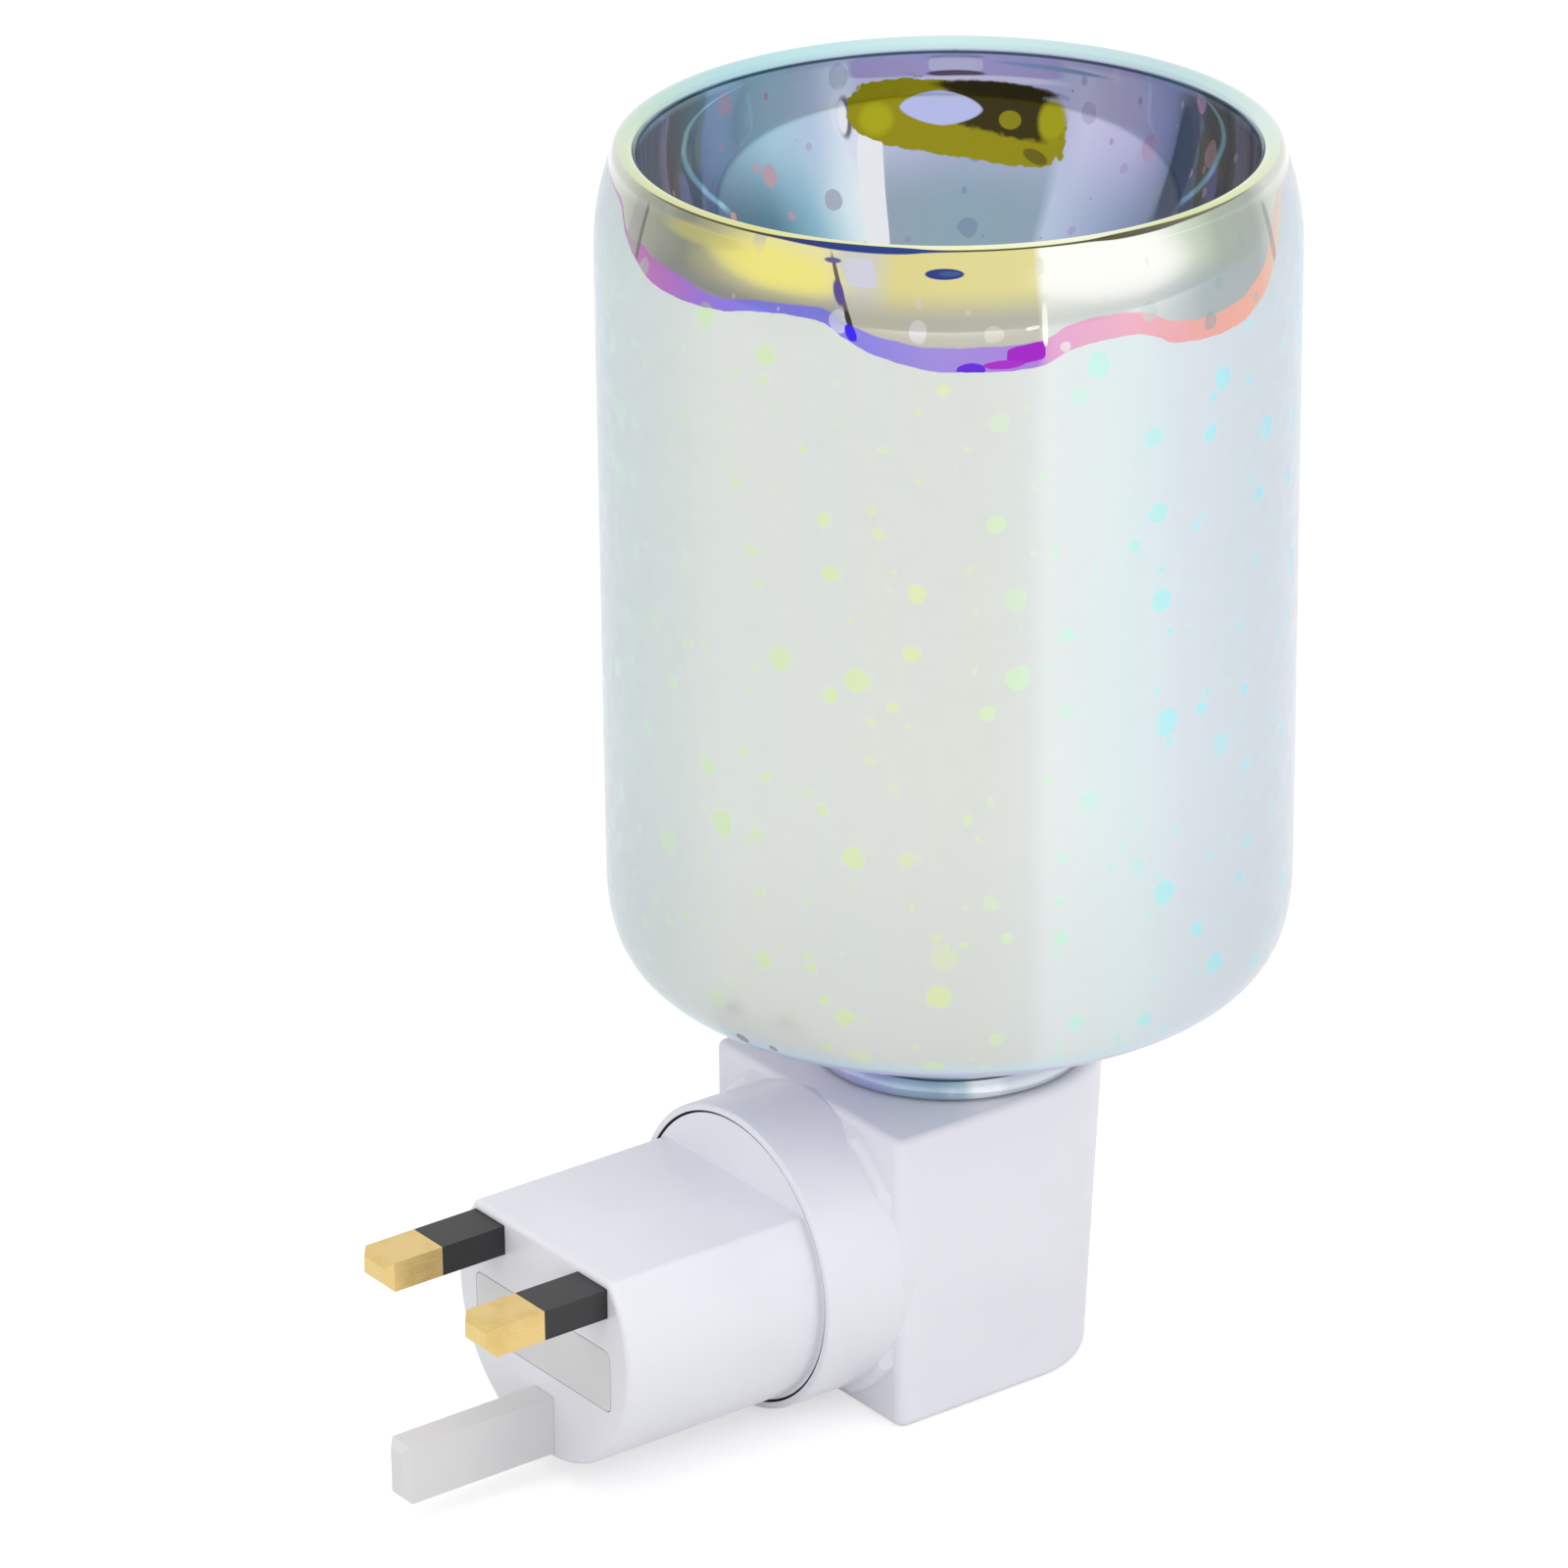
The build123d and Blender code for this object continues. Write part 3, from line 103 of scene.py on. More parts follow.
# Light: a white room for the eye and for reflections, a dimmer one for the shading, and four softboxes
studio = {
    "background": (1.0, 1.0, 1.0, 1.0),
    "ambient": (0.78, 0.78, 0.783, 1.0),
    "floorColour": (0.72, 0.72, 0.72, 1.0),
    "floorGlow": 0.50,
    "mirroredGlow": 0.42,
    "floorSize": 6.0,  # metres
    "floorEven": {"Roughness": 0.9, "Specular IOR Level": 0.2},
    "lamps": {  # place and size in metres, then watts
        "topLamp": ((-0.2, 0.1, 1.5), (1.4, 1.0), 3.5),
        "sideLamp": ((-1.3, -0.9, 0.7), (0.9, 1.3), 3.2),
        "frontLamp": ((-1.3, 1.0, 0.36), (1.4, 0.7), 4.2),
        "wallLamp": ((0.5, 1.5, 0.6), (1.0, 1.2), 1.5),
    },
}


# One level for the eye, one in mirrors and glass, and none for the shading
def seenDirectly(tree, level, mirrored):
    path = tree.nodes.new("ShaderNodeLightPath").outputs
    glossy = maths("MAXIMUM", path["Is Glossy Ray"], path["Is Transmission Ray"])
    eye = times(path["Is Camera Ray"], level)
    return maths("MAXIMUM", eye, times(glossy, mirrored))


def lightWorld():
    world = bpy.data.worlds.new("studioRoom")
    bpy.context.scene.world = world
    world.use_nodes = True
    tree = world.node_tree
    room = mixColour(seenDirectly(tree, 1.0, 1.0), studio["ambient"], studio["background"])
    fill(tree.nodes["Background"].inputs["Color"], room)


def addLamps():
    for name, (place, size, power) in studio["lamps"].items():
        data = bpy.data.lights.new(name, "AREA")
        data.shape = "RECTANGLE"
        data.size, data.size_y = size
        data.energy = power
        item = bpy.data.objects.new(name, data)
        item.location = place
        item.rotation_euler = (-Vector(place)).to_track_quat("-Z", "Y").to_euler()
        item.visible_glossy = False  # mirrors show the white room alone
        bpy.context.scene.collection.objects.link(item)


def layFloor():
    bm = bmesh.new()
    bmesh.ops.create_grid(bm, x_segments=1, y_segments=1, size=studio["floorSize"] / 2)
    bmesh.ops.translate(bm, verts=bm.verts, vec=(0, 0, cadBox[0][2]))
    mesh = bpy.data.meshes.new("paleFloor")
    bm.to_mesh(mesh)
    bm.free()
    floor = bpy.data.objects.new("paleFloor", mesh)
    bpy.context.scene.collection.objects.link(floor)
    material, tree, shader = newMaterial("paleFloor")
    shader.inputs["Base Color"].default_value = studio["floorColour"]
    shader.inputs["Emission Color"].default_value = studio["background"]
    setEven(shader, studio["floorEven"])
    glow = seenDirectly(tree, studio["floorGlow"], studio["mirroredGlow"])
    fill(shader.inputs["Emission Strength"], glow)
    mesh.materials.append(material)


# Shader helpers. A tone is a screen colour, 0 to 255, as the linear colour that a shader takes
def tone(red, green, blue):
    linear = []
    for part in (red, green, blue):
        share = part / 255
        linear.append(share / 12.92 if share <= 0.04045 else ((share + 0.055) / 1.055) ** 2.4)
    return (*linear, 1.0)


def newMaterial(name):
    material = bpy.data.materials.new(name)
    material.use_nodes = True
    tree = material.node_tree
    return material, tree, tree.nodes["Principled BSDF"]


# Values that are the same all over stand on the shader's own sockets
def setEven(shader, values):
    for label, value in values.items():
        shader.inputs[label].default_value = value


# A shader node group with named inputs and outputs
def newGroup(name, takes, gives):
    group = bpy.data.node_groups.new(name, "ShaderNodeTree")
    for label, value in takes.items():
        kind = "NodeSocketFloat"
        if isinstance(value, tuple):
            kind = "NodeSocketColor" if len(value) == 4 else "NodeSocketVector"
        group.interface.new_socket(label, in_out="INPUT", socket_type=kind).default_value = value
    for label in gives:
        kind = "NodeSocketColor" if label == "Colour" else "NodeSocketFloat"
        group.interface.new_socket(label, in_out="OUTPUT", socket_type=kind)
    start = group.nodes.new("NodeGroupInput")
    end = group.nodes.new("NodeGroupOutput")
    return group, start.outputs, end.inputs


# Places a group; each value is a number, a colour or a socket to link
def useGroup(tree, name, **values):
    node = tree.nodes.new("ShaderNodeGroup")
    node.node_tree = groups[name]
    for label, value in values.items():
        fill(node.inputs[label], value)
    return node.outputs


# Gives an input its value, or links a socket to it
def fill(slot, value):
    if isinstance(value, bpy.types.NodeSocket):
        slot.id_data.links.new(value, slot)
    else:
        slot.default_value = value


# The tree of the first socket among some values
def treeOf(*values):
    return next(value.id_data for value in values if isinstance(value, bpy.types.NodeSocket))


def maths(operation, *terms):
    node = treeOf(*terms).nodes.new("ShaderNodeMath")
    node.operation = operation
    for slot, term in zip(node.inputs, terms):
        fill(slot, term)
    return node.outputs[0]


def times(first, second):
    return maths("MULTIPLY", first, second)


def plus(first, second):
    return maths("ADD", first, second)


def less(first, second):
    return maths("SUBTRACT", first, second)


# How far apart two values are
def apart(first, second):
    return maths("ABSOLUTE", less(first, second))


def mixColour(factor, first, second):
    node = treeOf(factor, first, second).nodes.new("ShaderNodeMix")
    node.data_type = "RGBA"
    for label, term in (("Factor", factor), ("A", first), ("B", second)):
        fill(node.inputs[label], term)
    return node.outputs["Result"]


# Carries a value from one range to another, softly unless told otherwise
def spread(value, low, high, toLow=0.0, toHigh=1.0, smooth=True):
    node = value.id_data.nodes.new("ShaderNodeMapRange")
    node.interpolation_type = "SMOOTHSTEP" if smooth else "LINEAR"
    terms = {"Value": value, "From Min": low, "From Max": high, "To Min": toLow, "To Max": toHigh}
    for label, term in terms.items():
        fill(node.inputs[label], term)
    return node.outputs["Result"]


# Falls softly from most to nothing
def fade(value, low, high, most=1.0):
    return spread(value, low, high, most, 0.0)


# A colour ramp; each stop is a place and the red, green and blue of its tone
def ramp(value, stops):
    node = value.id_data.nodes.new("ShaderNodeValToRGB")
    points = node.color_ramp.elements
    while len(points) < len(stops):
        points.new(0.5)
    for point, (place, *colour) in zip(points, stops):
        point.position = place
        point.color = tone(*colour)
    fill(node.inputs["Fac"], value)
    return node.outputs["Color"]


# A level that rises and falls with a value from 0 to 1, through (place, level) points
def curveOver(value, points, low, high):
    node = value.id_data.nodes.new("ShaderNodeFloatCurve")
    curve = node.mapping.curves[0]
    for place, level in points[1:-1]:
        curve.points.new(place, (level - low) / (high - low))
    for end in (0, -1):
        curve.points[end].location = (points[end][0], (points[end][1] - low) / (high - low))
    node.mapping.update()
    fill(node.inputs["Value"], value)
    return plus(times(node.outputs[0], high - low), low)


def noise(vector, scale, detail=2.0):
    node = vector.id_data.nodes.new("ShaderNodeTexNoise")
    node.inputs["Scale"].default_value = scale
    node.inputs["Detail"].default_value = detail
    fill(node.inputs["Vector"], vector)
    return node.outputs["Fac"]


def joinAxes(across, up):
    node = across.id_data.nodes.new("ShaderNodeCombineXYZ")
    fill(node.inputs["X"], across)
    fill(node.inputs["Y"], up)
    return node.outputs[0]


def splitAxes(vector):
    node = vector.id_data.nodes.new("ShaderNodeSeparateXYZ")
    fill(node.inputs[0], vector)
    return node.outputs


def vectorMaths(operation, first, second):
    node = first.id_data.nodes.new("ShaderNodeVectorMath")
    node.operation = operation
    fill(node.inputs[0], first)
    fill(node.inputs[1], second)
    return node.outputs[0]


def distance(across, up):
    return maths("SQRT", plus(maths("POWER", across, 2.0), maths("POWER", up, 2.0)))


# Scattered cells, and three chances from 0 to 1 for each
def scatterCells(vector, scale, dimensions, randomness):
    cells = vector.id_data.nodes.new("ShaderNodeTexVoronoi")
    cells.voronoi_dimensions = dimensions
    for label, value in (("Vector", vector), ("Scale", scale), ("Randomness", randomness)):
        fill(cells.inputs[label], value)
    chance = vector.id_data.nodes.new("ShaderNodeSeparateColor")
    fill(chance.inputs["Color"], cells.outputs["Color"])
    return cells.outputs, chance.outputs


def objectPoint(tree):
    return tree.nodes.new("ShaderNodeTexCoord").outputs["Object"]


# Noise about zero, all over an object
def tremor(tree, scale, detail=1.0):
    return less(noise(objectPoint(tree), scale, detail), 0.5)


def addBump(shader, height, strength):
    bump = height.id_data.nodes.new("ShaderNodeBump")
    bump.inputs["Distance"].default_value = grainDepth
    bump.inputs["Strength"].default_value = strength
    fill(bump.inputs["Height"], height)
    fill(shader.inputs["Normal"], bump.outputs["Normal"])


lightWorld()
addLamps()
layFloor()
print("studio lit")


# Where a point of the glass lies: its turn round the axis, from 0 at the photo's left edge by 0.25 in its
# middle to 1, with its height and radius in millimetres
def roundTheGlass():
    group, takes, gives = newGroup("roundTheGlass", {"LeftEdge": 53.4}, ("Turn", "Height", "Radius"))
    across, along, height = splitAxes(vectorMaths("SUBTRACT", objectPoint(group), glassMiddle))
    angle = maths("ARCTAN2", along, across)
    fromLeft = less(angle, maths("RADIANS", takes["LeftEdge"]))
    turn = maths("FRACT", plus(maths("DIVIDE", fromLeft, math.tau), 1.0))
    fill(gives["Turn"], turn)
    fill(gives["Height"], maths("DIVIDE", height, mm))
    fill(gives["Radius"], maths("DIVIDE", distance(across, along), mm))
    return group


# How the dots in the plating are drawn
dotShape = {
    "wobble": 0.9,  # mm that their outlines wander
    "acrossGrain": 420.0,
    "upGrain": 350.0,
    "scatter": 0.9,
    "smallerMore": 1.3,  # above 1, more of the dots are small
    "haloReach": 0.35,
    "seamMargin": 0.5,  # a dot that would cross the seam is left out
    "faintShare": 0.6,
    "faintest": 0.55,
}


# Round dots of many sizes in the plating, on a flat place in millimetres
def platingDots():
    group, takes, gives = newGroup(
        "platingDots",
        {
            "Across": 0.0, "Up": 0.0, "Length": 1000.0, "Spacing": 12.0, "Smallest": 0.3, "Largest": 1.7,
            "Softness": 0.1, "Kept": 1.0,
        },
        ("Mask", "Halo"),
    )
    across = plus(takes["Across"], times(tremor(group, dotShape["acrossGrain"]), dotShape["wobble"]))
    up = plus(takes["Up"], times(tremor(group, dotShape["upGrain"], 0.0), dotShape["wobble"]))
    scale = maths("DIVIDE", 1.0, takes["Spacing"])
    cells, chance = scatterCells(joinAxes(across, up), scale, "2D", dotShape["scatter"])
    share = maths("POWER", chance["Red"], dotShape["smallerMore"])
    radius = spread(share, 0.0, 1.0, takes["Smallest"], takes["Largest"], smooth=False)
    reach = times(cells["Distance"], takes["Spacing"])
    inside = less(1.0, spread(reach, less(radius, takes["Softness"]), radius))
    around = fade(reach, radius, plus(radius, dotShape["haloReach"]))
    centre = splitAxes(cells["Position"])["X"]
    margin = plus(radius, dotShape["seamMargin"])
    clear = maths("GREATER_THAN", centre, margin)
    clear = times(clear, maths("LESS_THAN", centre, less(takes["Length"], margin)))
    clear = times(clear, maths("LESS_THAN", chance["Green"], takes["Kept"]))
    strong = spread(chance["Blue"], 0.0, dotShape["faintShare"], dotShape["faintest"], 1.0)
    strength = times(clear, strong)
    fill(gives["Mask"], times(inside, strength))
    fill(gives["Halo"], times(times(around, less(1.0, inside)), strength))
    return group


# Each patch says where it is (turn, height), how far it reaches (turn, mm), its tone, and what differs from
# these: lean is turn for each mm up, slope is mm up for each turn, and square 2 is an ellipse
patchUsual = {
    "lean": 0.0, "slope": 0.0, "square": 2.0, "edge": 0.1, "ragged": 0.0, "share": 1.0,
    "grain": 900.0,  # how fine a ragged edge is, the same for all
}


# One patch of colour on the glass, between an ellipse and a rectangle in shape, with a soft or ragged edge
def patchOnGlass():
    group, takes, gives = newGroup(
        "patchOnGlass",
        {
            "Turn": 0.0, "Height": 0.0, "AtTurn": 0.25, "AtHeight": 100.0, "Wide": 0.05, "High": 5.0,
            "Lean": 0.0, "Slope": 0.0, "Square": 2.0, "Edge": 0.1, "Ragged": 0.0,
        },
        ("Mask",),
    )
    # the turn between the two, the shorter way round
    beside = less(maths("FRACT", plus(less(takes["Turn"], takes["AtTurn"]), 1.5)), 0.5)
    above = less(takes["Height"], takes["AtHeight"])
    across = less(beside, times(takes["Lean"], above))
    up = less(above, times(takes["Slope"], beside))
    size = 0.0
    for part, reach in ((across, takes["Wide"]), (up, takes["High"])):
        share = maths("ABSOLUTE", maths("DIVIDE", part, reach))
        size = plus(size, maths("POWER", share, takes["Square"]))
    size = plus(size, times(tremor(group, patchUsual["grain"]), takes["Ragged"]))
    fill(gives["Mask"], fade(size, less(1.0, takes["Edge"]), plus(1.0, takes["Edge"])))
    return group


# How fine the clouds, specks and grain of a moulding are. Polish is how noise changes the roughness
mouldingLook = {
    "clouds": 45.0, "cloudLevels": (0.35, 0.75), "polish": (0.3, 0.7, -0.03, 0.05),
    "specks": 150.0, "speckless": 0.72, "largest": 0.022, "grain": 2600.0,
}


# Fine grain, faint clouding and a few dark specks, as on handled moulded plastic
def mouldingGrain():
    group, takes, gives = newGroup(
        "mouldingGrain",
        {
            "Main": (0.8, 0.8, 0.8, 1.0), "Shade": (0.7, 0.7, 0.7, 1.0), "Speck": (0.3, 0.3, 0.3, 1.0),
            "Rough": 0.35, "Specks": 0.5,
        },
        ("Colour", "Roughness", "Height"),
    )
    point = objectPoint(group)
    clouds = noise(point, mouldingLook["clouds"], detail=3.0)
    clouded = mixColour(spread(clouds, *mouldingLook["cloudLevels"]), takes["Main"], takes["Shade"])
    cells, chance = scatterCells(point, mouldingLook["specks"], "3D", 1.0)
    rare, largest = mouldingLook["speckless"], mouldingLook["largest"]
    size = spread(chance["Green"], rare, 1.0, 0.0, largest, smooth=False)
    speck = times(maths("LESS_THAN", cells["Distance"], size), takes["Specks"])
    fill(gives["Colour"], mixColour(speck, clouded, takes["Speck"]))
    fill(gives["Roughness"], plus(takes["Rough"], spread(clouds, *mouldingLook["polish"])))
    fill(gives["Height"], noise(point, mouldingLook["grain"], detail=1.0))
    return group


metalLook = {
    "lines": 3000.0, "polish": (0.3, 0.7, -0.06, 0.08), "relief": 0.3,
    "tarnish": 220.0, "tarnishLevels": (0.45, 0.8),
    "even": {"Metallic": 1.0},
}


# Fine turned or drawn lines on metal, with some tarnish
def drawnMetal():
    group, takes, gives = newGroup(
        "drawnMetal",
        {
            "Main": (0.6, 0.6, 0.6, 1.0), "Tarnish": (0.4, 0.4, 0.4, 1.0), "Rough": 0.3,
            "Stretch": (1.0, 0.1, 1.0),
        },
        ("Colour", "Roughness", "Height"),
    )
    lines = noise(vectorMaths("MULTIPLY", objectPoint(group), takes["Stretch"]), metalLook["lines"])
    tarnish = noise(objectPoint(group), metalLook["tarnish"], detail=3.0)
    tarnished = spread(tarnish, *metalLook["tarnishLevels"])
    fill(gives["Colour"], mixColour(tarnished, takes["Main"], takes["Tarnish"]))
    fill(gives["Roughness"], plus(takes["Rough"], spread(lines, *metalLook["polish"])))
    fill(gives["Height"], lines)
    return group


groups = {
    "roundTheGlass": roundTheGlass(),
    "platingDots": platingDots(),
    "patchOnGlass": patchOnGlass(),
    "mouldingGrain": mouldingGrain(),
    "drawnMetal": drawnMetal(),
}
print("shader groups made")


def paintPatches(colour, turn, height, patches):
    for (atTurn, atHeight), (wide, high), paint, *differs in patches:
        look = {**patchUsual, **(differs[0] if differs else {})}
        mask = useGroup(
            colour.id_data, "patchOnGlass", Turn=turn, Height=height, AtTurn=atTurn, AtHeight=atHeight,
            Wide=wide, High=high, Lean=look["lean"], Slope=look["slope"], Square=look["square"],
            Edge=look["edge"], Ragged=look["ragged"],
        )["Mask"]
        colour = mixColour(times(mask, look["share"]), colour, tone(*paint))
    return colour


# Two sizes of dots together
def allDots(across, up, length, sizes):
    masks, halos = [], []
    for spacing, smallest, largest, kept, start in sizes:
        dots = useGroup(
            across.id_data, "platingDots", Across=across, Up=plus(up, start), Length=length,
            Spacing=spacing, Smallest=smallest, Largest=largest, Kept=kept,
        )
        masks.append(dots["Mask"])
        halos.append(dots["Halo"])
    return maths("MAXIMUM", *masks), maths("MAXIMUM", *halos)


# Satin plating below the shoulder, with a painted reflection in its tints and a painted sheen round its
# foot
satinTintsAndPaintedLight = {
    # tints round the wall; the pale step from turn 0.281 to 0.33 is a painted softbox reflection
    "tints": (
        (0.0, 176, 190, 202), (0.06, 190, 204, 204), (0.14, 213, 218, 212), (0.26, 213, 217, 210),
        (0.281, 215, 220, 216), (0.29, 224, 230, 228), (0.33, 216, 229, 230), (0.36, 210, 219, 225),
        (0.42, 198, 208, 216), (0.47, 194, 204, 215), (0.52, 196, 204, 217), (0.62, 209, 213, 221),
        (0.75, 215, 219, 213), (0.88, 204, 212, 215), (1.0, 176, 190, 202),
    ),
    "dotTints": (
        (0.0, 182, 206, 210), (0.06, 190, 214, 206), (0.14, 204, 226, 180), (0.24, 218, 230, 172),
        (0.275, 208, 236, 196), (0.3, 200, 240, 222), (0.36, 170, 232, 240), (0.44, 164, 214, 228),
        (0.52, 166, 202, 222), (0.65, 184, 212, 226), (0.8, 214, 228, 178), (1.0, 182, 206, 210),
    ),
    "dots": ((9.8, 0.5, 1.8, 0.95, 0.0), (7.6, 0.2, 0.75, 0.9, 300.0)),  # spacing, radii, share kept, start
    "dotShare": 0.9,
    "patches": (
        ((0.026, 124.5), (0.02, 8.5), (178, 203, 214), {"lean": -0.0012, "edge": 0.75, "share": 0.8}),
        ((0.466, 124.0), (0.01, 12.0), (178, 207, 221), {"lean": -0.0006, "edge": 0.75, "share": 0.9}),
        ((0.49, 84.0), (0.008, 34.0), (190, 210, 226), {"edge": 0.6, "share": 0.8}),
        ((0.139, 36.0), (0.0036, 0.75), (150, 140, 134), {"ragged": 0.6}),
        ((0.157, 35.8), (0.0022, 0.6), (158, 150, 144), {"ragged": 0.6}),
        ((0.93, 72.0), (0.008, 34.0), (196, 212, 222), {"edge": 0.8, "share": 0.5}),
    ),
    "footEdgeSheen": (
        (0.0, 188, 222, 238), (0.3, 196, 228, 240), (0.42, 196, 204, 236), (1.0, 188, 222, 238),
    ),
    "footSheenLine": (
        (0.0, 150, 170, 205), (0.1, 150, 178, 215), (0.25, 172, 168, 224), (0.33, 178, 182, 208),
        (0.45, 176, 172, 208), (0.7, 150, 170, 215), (1.0, 150, 170, 205),
    ),
    "footLevels": (38.0, 35.0, 35.4, 34.2, 33.0, 31.0),  # top and bottom of the painted sheen, its line and the underside
    "underTone": (244, 244, 248),
    "cloudStretch": (0.16, 0.03),  # round the glass and up it
    "cloudLevels": (0.3, 0.75),
    "cloudTone": (196, 212, 222),
    "cloudShare": 0.1,
    "haloTone": (234, 238, 232),
    "haloShare": 0.12,
    "footShares": (0.7, 0.9),  # of the painted sheen and of its line
    "pearlLevels": (42.0, 74.0),
    "pearlMetal": (0.22, 0.75),
    "satin": (0.3, 0.7, 0.24, 0.34),  # noise levels, and the roughness there
    "satinGrain": 0.35,
    "smoothest": 0.05,
    "even": {"Coat Weight": 0.5, "Coat Roughness": 0.03},
}
